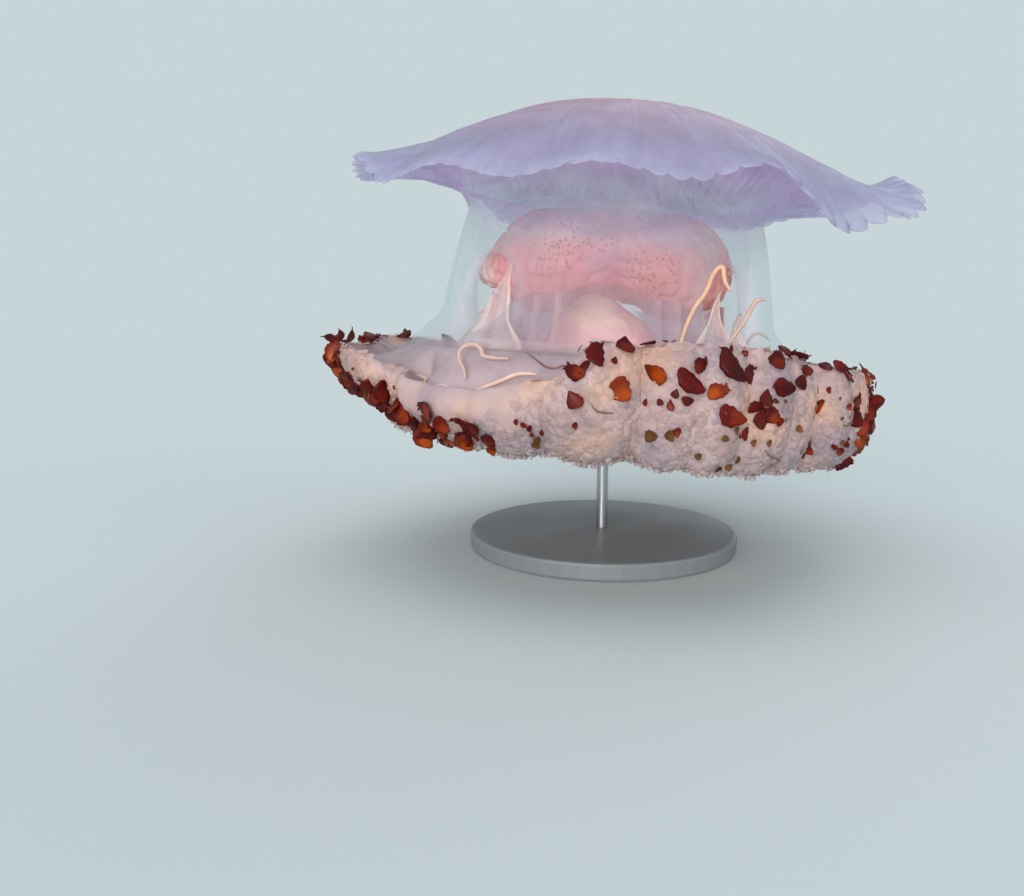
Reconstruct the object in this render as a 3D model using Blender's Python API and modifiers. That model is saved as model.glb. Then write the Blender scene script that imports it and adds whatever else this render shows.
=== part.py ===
"""A life-size museum model of a root-mouthed jellyfish on a display stand.

The bell is a low crown with a thin, wavy brim of eight octants. Four pillars hang from it
around the stomach and carry the arm disc, and eight frilled oral arms close round the disc.
Every soft piece is a section swept about the body's own axis, then posed by functions of the
azimuth. Azimuth 0 is +X and 270 degrees faces the viewer, towards -Y. Metres, +Z up.
"""

import math

import bmesh
import bpy
from mathutils import Matrix, Vector
from mathutils.geometry import interpolate_bezier

# Where the body is held, and how it leans
BODY_HEIGHT = 0.160
LEAN_RIGHT = math.radians(4.0)
NOSE_UP = math.radians(-3.0)
CUT = 0.0003

# Bell
CROWN_RADIUS = 0.120
CROWN_TOP = 0.140
CROWN_EDGE = 0.1065
ROOF = 0.068
NECK_RADIUS = 0.100
BRIM_RADIUS = 0.180
BRIM_EDGE = 0.079
BRIM_THICK = 0.014
BRIM_THIN = 0.0016
LAPPETS = 48
LAPPET_DEPTH = 0.005
BRIM_WAVES = 11
BRIM_WAVE = 0.0035
OCTANTS = 8

# Azimuth in degrees, how far the brim spreads, and how high its edge is held
BRIM_POSE = (
    (0, 0.199, 0.095),
    (12, 0.200, 0.112),
    (32, 0.190, 0.100),
    (90, 0.180, 0.086),
    (120, 0.179, 0.089),
    (140, 0.177, 0.106),
    (155, 0.178, 0.122),
    (168, 0.178, 0.108),
    (180, 0.178, 0.092),
    (200, 0.178, 0.084),
    (217, 0.170, 0.067),
    (240, 0.164, 0.071),
    (283, 0.164, 0.065),
    (300, 0.166, 0.073),
    (318, 0.172, 0.058),
    (335, 0.187, 0.066),
    (348, 0.195, 0.082),
)

# Column
PILLARS = 4
PILLAR_WALL = 0.010
PILLAR_FOOT = -0.0257
COLUMN_BOW = 0.014
WINDOW_HALF_ANGLE = math.radians(15.0)
WINDOW_MIDDLE = 0.007
WINDOW_HALF_HEIGHT = 0.029

# Stomach, with one gonad lobe behind each window
STOMACH_RADIUS = 0.086
STOMACH_LOBES = 4
STOMACH_LOBE = 0.06
LOBE_HANG = 0.014

# Arm disc and arms
DISC_RADIUS = 0.134
DISC_TOP = -0.026
DISC_UNDER = -0.056
BOSS_TOP = 0.017
ARMS = 8
ARM_REACH = 0.181
ARM_TOP = -0.020
ARM_UNDER = -0.086
ARM_INNER = 0.030
ARM_FOOT = 0.163
ARM_NARROWING = 0.02
ARM_END_ROUNDING = 0.016
FRILLS_PER_ARM = 4
FRILL_DEPTH = 0.004
FRILL_HANG = 0.003

# Azimuth in degrees, how far the arms reach there, the top of their rim, their underside, and how
# far out that underside's edge stands
ARM_POSE = (
    (22.5, 0.175, -0.020, -0.084, 0.163),
    (67.5, 0.180, -0.018, -0.082, 0.165),
    (112.5, 0.182, -0.016, -0.078, 0.160),
    (157.5, 0.188, -0.017, -0.073, 0.148),
    (202.5, 0.189, -0.027, -0.075, 0.142),
    (247.5, 0.186, -0.046, -0.084, 0.160),
    (261.0, 0.186, -0.036, -0.084, 0.162),
    (270.0, 0.186, -0.014, -0.085, 0.166),
    (292.5, 0.187, -0.013, -0.085, 0.174),
    (337.5, 0.180, -0.020, -0.083, 0.165),
)

# Filaments: azimuth in degrees and radius of the root, then steps (right, back, up) in millimetres
FILAMENT_RADIUS = 0.0012
FILAMENTS = {
    "filament_hooked": (
        (287, 0.140),
        ((1, 0, 14), (6, 2, 29), (12, 6, 37), (15, 8, 49), (20, 8, 53), (21, 8, 43), (25, 6, 39)),
    ),
    "filament_leaning": (
        (298, 0.142),
        ((1, 0, 12), (8, 4, 22), (12, 7, 31), (15, 8, 37), (20, 8, 37)),
    ),
    "filament_curled": (
        (241, 0.150),
        ((-5, 3, 6), (-5, 5, 13), (3, 4, 16), (8, 1, 13), (9, -2, 8), (24, -6, 9)),
    ),
    "filament_back_left": ((128, 0.142), ((-4, 1, 18), (-8, 4, 30), (-15, 5, 36), (-20, 2, 30))),
    "filament_back": ((84, 0.142), ((3, 0, 18), (8, 3, 30), (6, 5, 42), (-2, 5, 47))),
    "filament_back_right": ((38, 0.142), ((2, 4, 18), (6, 8, 28), (14, 10, 32), (20, 7, 26))),
}

# Display stand
BASE_RADIUS = 0.095
BASE_HEIGHT = 0.012
BASE_EDGE = 0.002
ROD_RADIUS = 0.004

# How finely the solids are cut into facets
TURN_STEPS = 32
OCTANT_STEPS = 18
PILLAR_STEPS = 6
WINDOW_STEPS = 6
ARM_STEPS = 12
THREAD_STEPS = 3


def clear_scene():
    for obj in list(bpy.data.objects):
        bpy.data.objects.remove(obj)


def make_material(name, color, roughness, metallic=0.0):
    material = bpy.data.materials.new(name)
    material.use_nodes = True
    shader = material.node_tree.nodes["Principled BSDF"]
    shader.inputs["Base Color"].default_value = (*color, 1.0)
    shader.inputs["Roughness"].default_value = roughness
    shader.inputs["Metallic"].default_value = metallic
    return material


def smooth(low, high, value):
    """0 up to low, 1 from high, and an even S between them."""
    share = min(max((value - low) / (high - low), 0.0), 1.0)
    return share * share * (3.0 - 2.0 * share)


def around(rows, azimuth):
    """The rows' values at this azimuth, eased from each row to the next all the way round."""
    degrees = math.degrees(azimuth) % 360.0
    for i, row in enumerate(rows):
        after = rows[(i + 1) % len(rows)]
        span = (after[0] - row[0]) % 360.0
        along = (degrees - row[0]) % 360.0
        if along <= span:
            share = smooth(0.0, 1.0, along / span)
            return [a + (b - a) * share for a, b in zip(row[1:], after[1:])]
    return list(rows[0][1:])


def rounded(points, steps):
    """A smooth line through these (radius, height) points, with this many steps in each span."""
    spots = [Vector((r, 0.0, z)) for r, z in points]
    ends = [2 * spots[0] - spots[1], *spots, 2 * spots[-1] - spots[-2]]
    line = [spots[0]]
    for before, a, b, after in zip(ends, ends[1:], ends[2:], ends[3:]):
        line += interpolate_bezier(a, a + (b - before) / 6, b - (after - a) / 6, b, steps + 1)[1:]
    return [(max(p.x, 0.0), p.z) for p in line]


def swept(name, section, start, turn, steps, pose=None):
    """A closed solid: the section's outline turned about the body's axis, then each point posed."""
    bm = bmesh.new()
    corners = [bm.verts.new((r, 0.0, z)) for r, z in section]
    whole_turn = turn >= 2 * math.pi - 1e-6
    if whole_turn:
        edges = [bm.edges.new(pair) for pair in zip(corners, corners[1:])]
        first = corners + edges
    else:
        face = bm.faces.new(corners)
        first = [face, *face.edges, *corners]
        bmesh.ops.rotate(bm, verts=corners, cent=(0, 0, 0), matrix=Matrix.Rotation(start, 3, "Z"))
    bmesh.ops.spin(
        bm, geom=first, cent=(0, 0, 0), axis=(0, 0, 1), angle=turn, steps=steps, use_merge=whole_turn
    )
    bmesh.ops.remove_doubles(bm, verts=bm.verts, dist=1e-6)
    bmesh.ops.holes_fill(bm, edges=[e for e in bm.edges if e.is_boundary], sides=0)
    bmesh.ops.triangulate(bm, faces=[f for f in bm.faces if len(f.verts) > 4])
    if pose:
        for vert in bm.verts:
            r = math.hypot(vert.co.x, vert.co.y)
            vert.co = pose(r, math.atan2(vert.co.y, vert.co.x), vert.co.z)
    bmesh.ops.recalc_face_normals(bm, faces=bm.faces)
    mesh = bpy.data.meshes.new(name)
    bm.to_mesh(mesh)
    bm.free()
    mesh.shade_smooth()
    mesh.set_sharp_from_angle(angle=math.radians(60))
    return bpy.data.objects.new(name, mesh)


def polar(r, azimuth, z):
    return Vector((r * math.cos(azimuth), r * math.sin(azimuth), z))


def column_radius(z):
    """Outer radius of the column: narrowest under the bell, bowed, and flared into the arm disc."""
    share = (ROOF - z) / (ROOF - PILLAR_FOOT)
    bow = NECK_RADIUS + COLUMN_BOW * math.sin(share * math.pi / 2)
    return bow + (DISC_RADIUS - CUT - NECK_RADIUS - COLUMN_BOW) * smooth(0.62, 1.0, share) ** 2


def brim_pose(r, azimuth, z):
    """Spreads a point of the resting brim, lifts or drops its edge, and scallops the lappets."""
    out = (r - CROWN_RADIUS) / (BRIM_RADIUS - CROWN_RADIUS)
    spread, edge = around(BRIM_POSE, azimuth)
    scallop = abs(math.sin(azimuth * LAPPETS / 2)) ** 0.6
    spread -= LAPPET_DEPTH * (1.0 - scallop) * smooth(0.6, 1.0, out)
    wave = BRIM_WAVE * math.sin(azimuth * BRIM_WAVES + 0.8) + BRIM_WAVE * math.sin(azimuth * 5 + 2.0)
    z += max(out, 0.0) ** 1.5 * (edge - BRIM_EDGE) + out * out * wave
    return polar(CROWN_RADIUS + (spread - CROWN_RADIUS) * out, azimuth, z)


def stomach_pose(r, azimuth, z):
    """Four gonad lobes, which hang lower and stand further out behind the four windows."""
    lobe = math.cos(STOMACH_LOBES * (azimuth - math.pi / STOMACH_LOBES))
    hang = LOBE_HANG * (0.5 + 0.5 * lobe) * smooth(0.03, 0.07, r) * smooth(0.060, 0.020, z)
    return polar(r * (1.0 + STOMACH_LOBE * lobe * smooth(0.02, 0.06, r)), azimuth, z - hang)


def pillar_pose(middle):
    def pose(r, azimuth, z):
        off = (azimuth - middle + math.pi) % (2 * math.pi) - math.pi
        height = (z - WINDOW_MIDDLE) / WINDOW_HALF_HEIGHT
        window = WINDOW_HALF_ANGLE * math.sqrt(max(1.0 - height * height, 0.0))
        return polar(r, middle + off * (1.0 - window / (math.pi / PILLARS)), z)

    return pose


def arm_pose(middle):
    """Follows ARM_POSE round the body; the end is rounded and frilled and narrows outwards."""

    def pose(r, azimuth, z):
        off = (azimuth - middle + math.pi) % (2 * math.pi) - math.pi
        side = off / (math.pi / ARMS)
        reach, top, under, foot = around(ARM_POSE, azimuth)
        outwards = smooth(DISC_RADIUS + 0.004, ARM_FOOT - 0.004, r)
        upper = smooth(0.0, 1.0, (z - ARM_UNDER) / (ARM_TOP - ARM_UNDER))
        frill = abs(math.sin(side * math.pi * FRILLS_PER_ARM / 2))
        high = top - ARM_TOP - FRILL_HANG * side * side
        low = under - ARM_UNDER - FRILL_HANG * (frill - side**4)
        z += outwards * (upper * high + (1.0 - upper) * low)
        end = upper * (reach - ARM_REACH) + (1.0 - upper) * (foot - ARM_FOOT)
        end -= ARM_END_ROUNDING * side**4 + FRILL_DEPTH * (1.0 - frill)
        return polar(r + outwards * end, middle + off * (1.0 - ARM_NARROWING * outwards), z)

    return pose


def brim_section():
    """The resting brim in section: thick where it leaves the crown, a thin edge outside."""
    inner = CROWN_RADIUS + CUT
    upper = [
        (inner, CROWN_EDGE),
        (0.138, 0.0985),
        (0.160, 0.0885),
        (BRIM_RADIUS, BRIM_EDGE),
    ]
    under = [
        (BRIM_RADIUS, BRIM_EDGE - BRIM_THIN),
        (0.160, 0.0835),
        (0.138, 0.0885),
        (inner, CROWN_EDGE - BRIM_THICK),
    ]
    return upper + under


def crown_section():
    dome = rounded([(0.0, CROWN_TOP), (0.045, 0.1355), (0.085, 0.1235), (CROWN_RADIUS, CROWN_EDGE)], 3)
    neck = [(CROWN_RADIUS, CROWN_EDGE - BRIM_THICK), (0.110, 0.0850), (0.103, 0.0760)]
    return dome + neck + [(NECK_RADIUS, ROOF), (0.0, ROOF)]


def stomach_section():
    roof = ROOF - CUT
    bag = [
        (0.056, roof),
        (0.072, 0.0595),
        (0.082, 0.0475),
        (STOMACH_RADIUS, 0.034),
        (0.081, 0.0235),
        (0.071, 0.0180),
        (0.055, 0.021),
        (0.036, 0.029),
        (0.0, 0.031),
    ]
    return [(0.0, roof), *rounded(bag, 2)]


def pillar_section():
    """The column's wall in section, with its rows spaced evenly round the window's outline."""
    turns = [math.pi * i / WINDOW_STEPS for i in range(WINDOW_STEPS + 1)]
    window = [WINDOW_MIDDLE + WINDOW_HALF_HEIGHT * math.cos(turn) for turn in turns]
    heights = [ROOF - CUT, 0.052, *window, PILLAR_FOOT]
    outer = [(column_radius(z), z) for z in heights]
    inner = [(NECK_RADIUS - PILLAR_WALL + 0.005 * math.sin((ROOF - z) * 24), z) for z in heights]
    return outer + inner[::-1]


def disc_section():
    """A flat disc with a low boss in the middle, which shows between the pillars."""
    top = rounded([(0.0, BOSS_TOP), (0.016, 0.0125), (0.027, 0.000), (0.038, -0.018), (0.052, DISC_TOP)], 2)
    return top + [(DISC_RADIUS, DISC_TOP), (DISC_RADIUS, DISC_UNDER), (0.0, DISC_UNDER)]


def arm_section():
    """The resting arm in section: a dished upper face, a full rim, and a keel under the disc."""
    start = DISC_RADIUS + CUT
    return [
        (start, DISC_TOP),
        (0.148, -0.0300),
        (0.164, -0.0270),
        (ARM_REACH - 0.006, ARM_TOP),
        (ARM_REACH, ARM_TOP - 0.012),
        (ARM_REACH + 0.001, ARM_TOP - 0.030),
        (ARM_REACH - 0.004, ARM_UNDER + 0.016),
        (ARM_REACH - 0.018, ARM_UNDER),
        (0.132, ARM_UNDER + 0.002),
        (0.090, -0.080),
        (ARM_INNER, -0.070),
        (ARM_INNER, DISC_UNDER - CUT),
        (start, DISC_UNDER - CUT),
    ]


def on_arm(azimuth, r):
    """A point on the upper face of an arm."""
    middle = (math.floor(azimuth / (2 * math.pi / ARMS)) + 0.5) * 2 * math.pi / ARMS
    pose = arm_pose(middle)
    face = arm_section()[:4]
    for (near, low), (far, high) in zip(face, face[1:]):
        if near <= r <= far:
            share = (r - near) / (far - near)
            return pose(near, azimuth, low).lerp(pose(far, azimuth, high), share)
    return pose(face[0][0], azimuth, face[0][1])


def build_filament(name, root, steps):
    """A tapering thread that rises from the upper face of an arm."""
    azimuth, r = math.radians(root[0]), root[1]
    foot = on_arm(azimuth, r)
    normal = (on_arm(azimuth, r + CUT) - foot).cross(on_arm(azimuth + CUT, r) - foot).normalized()
    upright = Vector(steps[0]).normalized().dot(normal)
    foot.z += (2 * CUT + FILAMENT_RADIUS * math.sqrt(1.0 - upright * upright)) / normal.z
    spots = [foot] + [foot + Vector(step) / 1000.0 for step in steps]
    ends = [2 * spots[0] - spots[1], *spots, 2 * spots[-1] - spots[-2]]
    line = [spots[0]]
    for before, a, b, after in zip(ends, ends[1:], ends[2:], ends[3:]):
        handles = a + (b - before) / 6, b - (after - a) / 6
        line += interpolate_bezier(a, *handles, b, THREAD_STEPS + 1)[1:]
    curve = bpy.data.curves.new(name, "CURVE")
    curve.dimensions = "3D"
    curve.bevel_depth = FILAMENT_RADIUS
    curve.bevel_resolution = 1
    curve.use_fill_caps = True
    spline = curve.splines.new("POLY")
    spline.points.add(len(line) - 1)
    for i, (point, spot) in enumerate(zip(spline.points, line)):
        point.co = (*spot, 1.0)
        point.radius = 1.0 - 0.45 * i / (len(line) - 1)
    return bpy.data.objects.new(name, curve)


def build_base():
    bpy.ops.mesh.primitive_cylinder_add(
        vertices=48, radius=BASE_RADIUS, depth=BASE_HEIGHT, location=(0, 0, BASE_HEIGHT / 2)
    )
    base = bpy.context.object
    base.name = "stand_base"
    bevel = base.modifiers.new("rounded edge", "BEVEL")
    bevel.width = BASE_EDGE
    bevel.segments = 2
    bevel.limit_method = "ANGLE"
    base.data.shade_smooth()
    base.data.set_sharp_from_angle(angle=math.radians(40))
    return base


def build_rod():
    """The rod stands on the base and meets the leaning disc's underside between the arms."""
    drop = ROD_RADIUS * math.tan(LEAN_RIGHT) + ROD_RADIUS * math.tan(-NOSE_UP)
    top = BODY_HEIGHT + DISC_UNDER - drop - CUT
    low = BASE_HEIGHT + CUT
    bpy.ops.mesh.primitive_cylinder_add(
        vertices=24, radius=ROD_RADIUS, depth=top - low, location=(0, 0, (top + low) / 2)
    )
    rod = bpy.context.object
    rod.name = "stand_rod"
    rod.data.shade_smooth()
    rod.data.set_sharp_from_angle(angle=math.radians(40))
    return rod


def place(obj, material, collection, holder=None):
    obj.data.materials.clear()
    obj.data.materials.append(material)
    for other in list(obj.users_collection):
        other.objects.unlink(obj)
    collection.objects.link(obj)
    obj.parent = holder


def build_bell(add):
    jelly = make_material("bell jelly", (0.70, 0.69, 0.82), 0.25)
    add(swept("bell_crown", crown_section(), 0.0, 2 * math.pi, TURN_STEPS), jelly)
    octant = 2 * math.pi / OCTANTS
    gap = CUT / 2 / CROWN_RADIUS
    for i in range(OCTANTS):
        start = i * octant + gap
        turn = octant - 2 * gap
        piece = swept(f"bell_brim_{i + 1}", brim_section(), start, turn, OCTANT_STEPS, brim_pose)
        add(piece, jelly)


def build_column(add):
    clear_jelly = make_material("column jelly", (0.55, 0.74, 0.80), 0.20)
    gonad = make_material("gonad", (0.80, 0.48, 0.46), 0.45)
    add(swept("stomach", stomach_section(), 0.0, 2 * math.pi, TURN_STEPS, stomach_pose), gonad)
    quarter = 2 * math.pi / PILLARS
    gap = CUT / 2 / (NECK_RADIUS - PILLAR_WALL)
    for i in range(PILLARS):
        middle = i * quarter
        start = middle - quarter / 2 + gap
        turn = quarter - 2 * gap
        name = f"oral_pillar_{i + 1}"
        piece = swept(name, pillar_section(), start, turn, PILLAR_STEPS, pillar_pose(middle))
        add(piece, clear_jelly)


def build_arms(add):
    flesh = make_material("arm flesh", (0.78, 0.70, 0.70), 0.40)
    add(swept("arm_disc", disc_section(), 0.0, 2 * math.pi, TURN_STEPS), flesh)
    sector = 2 * math.pi / ARMS
    gap = CUT / 2 / ARM_INNER
    for i in range(ARMS):
        middle = (i + 0.5) * sector
        start = middle - sector / 2 + gap
        turn = sector - 2 * gap
        piece = swept(f"oral_arm_{i + 1}", arm_section(), start, turn, ARM_STEPS, arm_pose(middle))
        add(piece, flesh)


def build():
    clear_scene()
    collection = bpy.data.collections.new("root_mouthed_jellyfish")
    bpy.context.scene.collection.children.link(collection)
    holder = bpy.data.objects.new("swimming_pose", None)
    holder.location = (0, 0, BODY_HEIGHT)
    holder.rotation_euler = (NOSE_UP, LEAN_RIGHT, 0)
    collection.objects.link(holder)

    def add(obj, material):
        place(obj, material, collection, holder)

    build_bell(add)
    build_column(add)
    build_arms(add)
    cream = make_material("filament", (0.86, 0.74, 0.60), 0.35)
    for name, (root, steps) in FILAMENTS.items():
        add(build_filament(name, root, steps), cream)
    place(build_base(), make_material("stand base", (0.16, 0.17, 0.18), 0.45), collection)
    place(build_rod(), make_material("stand rod", (0.62, 0.63, 0.65), 0.25, 1.0), collection)


build()
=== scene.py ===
import random
from math import atan2, cos, degrees, exp, hypot, pi, radians, sin, sqrt

import bmesh
import bpy
import numpy as np
from mathutils import Euler, Matrix, Vector, noise
from mathutils.geometry import interpolate_bezier


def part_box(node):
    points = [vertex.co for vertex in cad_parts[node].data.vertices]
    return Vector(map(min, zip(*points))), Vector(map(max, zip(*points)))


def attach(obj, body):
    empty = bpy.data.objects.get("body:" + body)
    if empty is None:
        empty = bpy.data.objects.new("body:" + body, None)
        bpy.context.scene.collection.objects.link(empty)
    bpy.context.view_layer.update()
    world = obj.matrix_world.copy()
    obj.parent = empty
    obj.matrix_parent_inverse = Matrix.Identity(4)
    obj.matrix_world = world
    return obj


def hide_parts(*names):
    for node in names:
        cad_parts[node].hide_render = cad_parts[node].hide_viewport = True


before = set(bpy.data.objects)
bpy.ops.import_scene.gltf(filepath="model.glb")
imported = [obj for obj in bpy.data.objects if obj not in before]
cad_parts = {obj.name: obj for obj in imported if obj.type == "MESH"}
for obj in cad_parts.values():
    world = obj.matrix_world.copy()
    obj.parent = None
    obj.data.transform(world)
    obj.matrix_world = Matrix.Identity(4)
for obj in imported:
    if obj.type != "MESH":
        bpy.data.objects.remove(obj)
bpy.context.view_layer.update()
turn = 2 * pi
scene = bpy.context.scene

# The whole animal is shaped upright round its own axis, then swims: a little nose-up, a little to one side
swim = {"rodTopToMiddle": 0.0568, "noseUp": -3.0, "leanRight": 4.0}
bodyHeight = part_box("stand_rod")[1].z + swim["rodTopToMiddle"]
swimming = Matrix.Translation((0, 0, bodyHeight)) @ Euler(
    (radians(swim["noseUp"]), radians(swim["leanRight"]), 0)).to_matrix().to_4x4()


def tone(red, green, blue, cover=1.0):  # screen colour, 0 to 255, as the linear colour a shader wants
    shares = [c / 255 for c in (red, green, blue)]
    return (*(c / 12.92 if c <= 10 / 255 else ((c + 0.055) / 1.055) ** 2.4 for c in shares), cover)


def stops(*rows):  # colours along a line: each row's share of the way, then its tone
    return [(share, tone(*color)) for share, *color in rows]


def smooth(low, high, value):
    share = min(max((value - low) / (high - low), 0.0), 1.0)
    return share * share * (3.0 - 2.0 * share)


def mixed(a, b, share):
    return [p + (q - p) * share for p, q in zip(a, b)]


def polar(r, azimuth, z):
    return Vector((r * cos(azimuth), r * sin(azimuth), z))


def azimuthOf(point):
    return atan2(point.y, point.x)


def radiusOf(point):
    return hypot(point.x, point.y)


def wrapped(angle):  # to between minus and plus half a turn
    return (angle + pi) % turn - pi


def around(rows, azimuth):  # the rows' values at this azimuth, eased from each row to the next
    here = degrees(azimuth) % 360.0
    for i, row in enumerate(rows):
        after = rows[(i + 1) % len(rows)]
        span = (after[0] - row[0]) % 360.0
        along = (here - row[0]) % 360.0
        if along <= span:
            return mixed(row[1:], after[1:], smooth(0.0, 1.0, along / span))
    return list(rows[0][1:])


def stepped(stops, share):  # a colour out of (share, colour) stops
    for (a, first), (b, second) in zip(stops, stops[1:]):
        if share <= b:
            return mixed(first, second, smooth(a, b, share))
    return list(stops[-1][1])


def rounded(points, steps):  # a smooth line through (radius, height) points
    spots = [Vector((r, 0.0, z)) for r, z in points]
    ends = [2 * spots[0] - spots[1], *spots, 2 * spots[-1] - spots[-2]]
    line = [spots[0]]
    for before, a, b, after in zip(ends, ends[1:], ends[2:], ends[3:]):
        line += interpolate_bezier(a, a + (b - before) / 6, b - (after - a) / 6, b, steps + 1)[1:]
    return [(max(p.x, 0.0), p.z) for p in line]


def ripple(point, scale, seed=0.0):  # soft noise, about -1 to 1
    return noise.noise(Vector(point) * scale + Vector((seed, seed * 0.7, -seed)))


# Shapes shared by the skin and its coat, upright and centred: azimuth 270 degrees is the front

bell = {
    "crownRadius": 0.120, "brimRadius": 0.180, "brimEdge": 0.079, "roof": 0.068,
    "top": ((0, 0.140), (0.045, 0.1355), (0.085, 0.1235), (0.120, 0.1065), (0.138, 0.0985),
            (0.160, 0.0885), (0.1792, 0.0796)),
    "under": ((0.1803, 0.0785), (0.1792, 0.0775), (0.160, 0.0835), (0.138, 0.0885), (0.120, 0.0918),
              (0.110, 0.0850), (0.103, 0.0760), (0.100, 0.068)),
    "lappets": 80, "lappetDepth": 0.0050, "lappetLift": 0.0030, "waves": 11, "wave": 0.0035,
    "faintLappets": (radians(234), 0.60, 0.75),  # the middle, the width and how much is missing
    "pose": (  # azimuth, how far the brim spreads, how high its edge is held
        (0, 0.199, 0.095), (12, 0.200, 0.112), (32, 0.190, 0.100), (90, 0.180, 0.086), (120, 0.179, 0.089),
        (140, 0.177, 0.106), (155, 0.178, 0.122), (168, 0.178, 0.108), (180, 0.178, 0.092),
        (200, 0.178, 0.084), (217, 0.170, 0.067), (240, 0.164, 0.071), (283, 0.164, 0.065),
        (300, 0.166, 0.073), (318, 0.172, 0.058), (335, 0.187, 0.066), (348, 0.195, 0.082)),
}
column = {
    "foot": -0.0257, "neckRadius": 0.100, "footRadius": 0.1337, "bow": 0.014, "innerRadius": 0.090,
    "innerBow": 0.005, "windowHalfAngle": radians(15.0), "windowMiddle": 0.007,
    "windowHalfHeight": 0.029, "windowRows": 16, "quarters": 4,
}
arm = {
    "count": 8, "top": -0.020, "under": -0.086, "reach": 0.181, "foot": 0.163, "discRadius": 0.134,
    "endRounding": 0.016, "frills": 4, "frillDepth": 0.004, "frillHang": 0.003,
    # the border in front: where it is, how far it stands to the right, its width, how shallow it is
    "border": (radians(277), radians(7), radians(15), 0.55),
    "lumps": ((0.0016, 60, 0), (0.0007, 190, 4)),  # height, scale and seed of the granular flesh
    "section": ((0.1337, -0.0257), (0.148, -0.0315), (0.162, -0.0300), (0.171, -0.0235), (0.1765, -0.032),
                (0.178, -0.050), (0.173, -0.068), (0.160, -0.081), (0.132, -0.080), (0.090, -0.077),
                (0.034, -0.068), (0.028, -0.0565), (0.0, -0.0565)),
    "pose": (  # azimuth, reach, top of the rim, underside, how far out the underside's edge stands
        (22.5, 0.175, -0.020, -0.084, 0.163), (67.5, 0.180, -0.018, -0.082, 0.165),
        (112.5, 0.182, -0.016, -0.078, 0.160), (157.5, 0.188, -0.017, -0.073, 0.148),
        (202.5, 0.189, -0.027, -0.075, 0.142), (247.5, 0.186, -0.046, -0.084, 0.160),
        (261.0, 0.186, -0.036, -0.084, 0.162), (270.0, 0.186, -0.014, -0.085, 0.166),
        (292.5, 0.187, -0.013, -0.085, 0.174), (337.5, 0.180, -0.020, -0.083, 0.165)),
}
disc = ((0.0925, -0.0235), (0.086, -0.0258), (0.052, -0.0242), (0.036, -0.0225), (0.018, -0.016),
        (0.0, -0.014))


def lappetStrength(azimuth):  # the lappets are faint along the front left
    middle, width, share = bell["faintLappets"]
    return 1.0 - share * exp(-(wrapped(azimuth - middle) / width) ** 2)


def brimPose(r, azimuth, z):
    out = (r - bell["crownRadius"]) / (bell["brimRadius"] - bell["crownRadius"])
    if out <= 0:
        return polar(r, azimuth, z)
    spread, edge = around(bell["pose"], azimuth)
    notch = (1.0 - abs(sin(azimuth * bell["lappets"] / 2)) ** 0.6) * lappetStrength(azimuth)
    spread -= bell["lappetDepth"] * notch * smooth(0.6, 1.0, out)
    wave = bell["wave"] * (sin(azimuth * bell["waves"] + 0.8) + sin(azimuth * 5 + 2.0))
    z += out ** 1.5 * (edge - bell["brimEdge"]) + out * out * wave
    z += bell["lappetLift"] * notch * smooth(0.75, 1.0, out)
    return polar(bell["crownRadius"] + (spread - bell["crownRadius"]) * out, azimuth, z)


def columnRadius(z):
    share = (bell["roof"] - z) / (bell["roof"] - column["foot"])
    bow = column["neckRadius"] + column["bow"] * sin(share * pi / 2)
    flare = column["footRadius"] - column["neckRadius"] - column["bow"]
    return bow + flare * smooth(0.62, 1.0, share) ** 2


def innerRadius(z):
    return column["innerRadius"] + column["innerBow"] * sin((bell["roof"] - z) * 24)


def lobeGive(azimuth, z):  # where the stomach's left lobe presses out, and how far it goes there
    turned, height, out = gonads["pressed"]
    near = (wrapped(azimuth - turned) / 0.24) ** 2 + ((z - height) / 0.017) ** 2
    return out * exp(-near)


def pillarPose(r, azimuth, z, middle):  # draws a quarter of the wall in from the windows beside it
    height = (z - column["windowMiddle"]) / column["windowHalfHeight"]
    window = column["windowHalfAngle"] * sqrt(max(1.0 - height * height, 0.0))
    return polar(r, middle + wrapped(azimuth - middle) * (1.0 - window * column["quarters"] / pi), z)


def armPose(r, azimuth, z):
    half = pi / arm["count"]
    middle, shift, width, share = arm["border"]
    near = exp(-(wrapped(azimuth - middle) / width) ** 2)
    side = (((azimuth - shift * near) / half) % 2.0) - 1.0
    rounding = arm["endRounding"] * (1.0 - share * near)
    reach, top, under, foot = around(arm["pose"], azimuth)
    outwards = smooth(arm["discRadius"] + 0.004, arm["foot"] - 0.004, r)
    upper = smooth(0.0, 1.0, (z - arm["under"]) / (arm["top"] - arm["under"]))
    frill = abs(sin(side * pi * arm["frills"] / 2))
    high = top - arm["top"] - arm["frillHang"] * side * side
    low = under - arm["under"] - arm["frillHang"] * (frill - side ** 4)
    z += outwards * (upper * high + (1.0 - upper) * low)
    end = upper * (reach - arm["reach"]) + (1.0 - upper) * (foot - arm["foot"])
    end -= rounding * side ** 4 + arm["frillDepth"] * (1.0 - frill)
    return polar(r + outwards * end, azimuth, z)


def armLump(point):  # how far the arms' granular flesh stands out of its smooth form
    return sum(height * ripple(point, scale, seed) for height, scale, seed in arm["lumps"])


class ArmFace:  # the arms' skin from the tray inside the rim, over the rim and down to the keel
    line = rounded(arm["section"][1:10], 8)
    lengths = np.concatenate([[0.0], np.cumsum(np.linalg.norm(np.diff(np.array(line), axis=0), axis=1))])
    lengths /= lengths[-1]
    radii = np.array(line)[:, 0]
    heights = np.array(line)[:, 1]


def onArm(azimuth, along):
    r = float(np.interp(along, ArmFace.lengths, ArmFace.radii))
    z = float(np.interp(along, ArmFace.lengths, ArmFace.heights))
    return armPose(r, azimuth, z)


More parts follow.
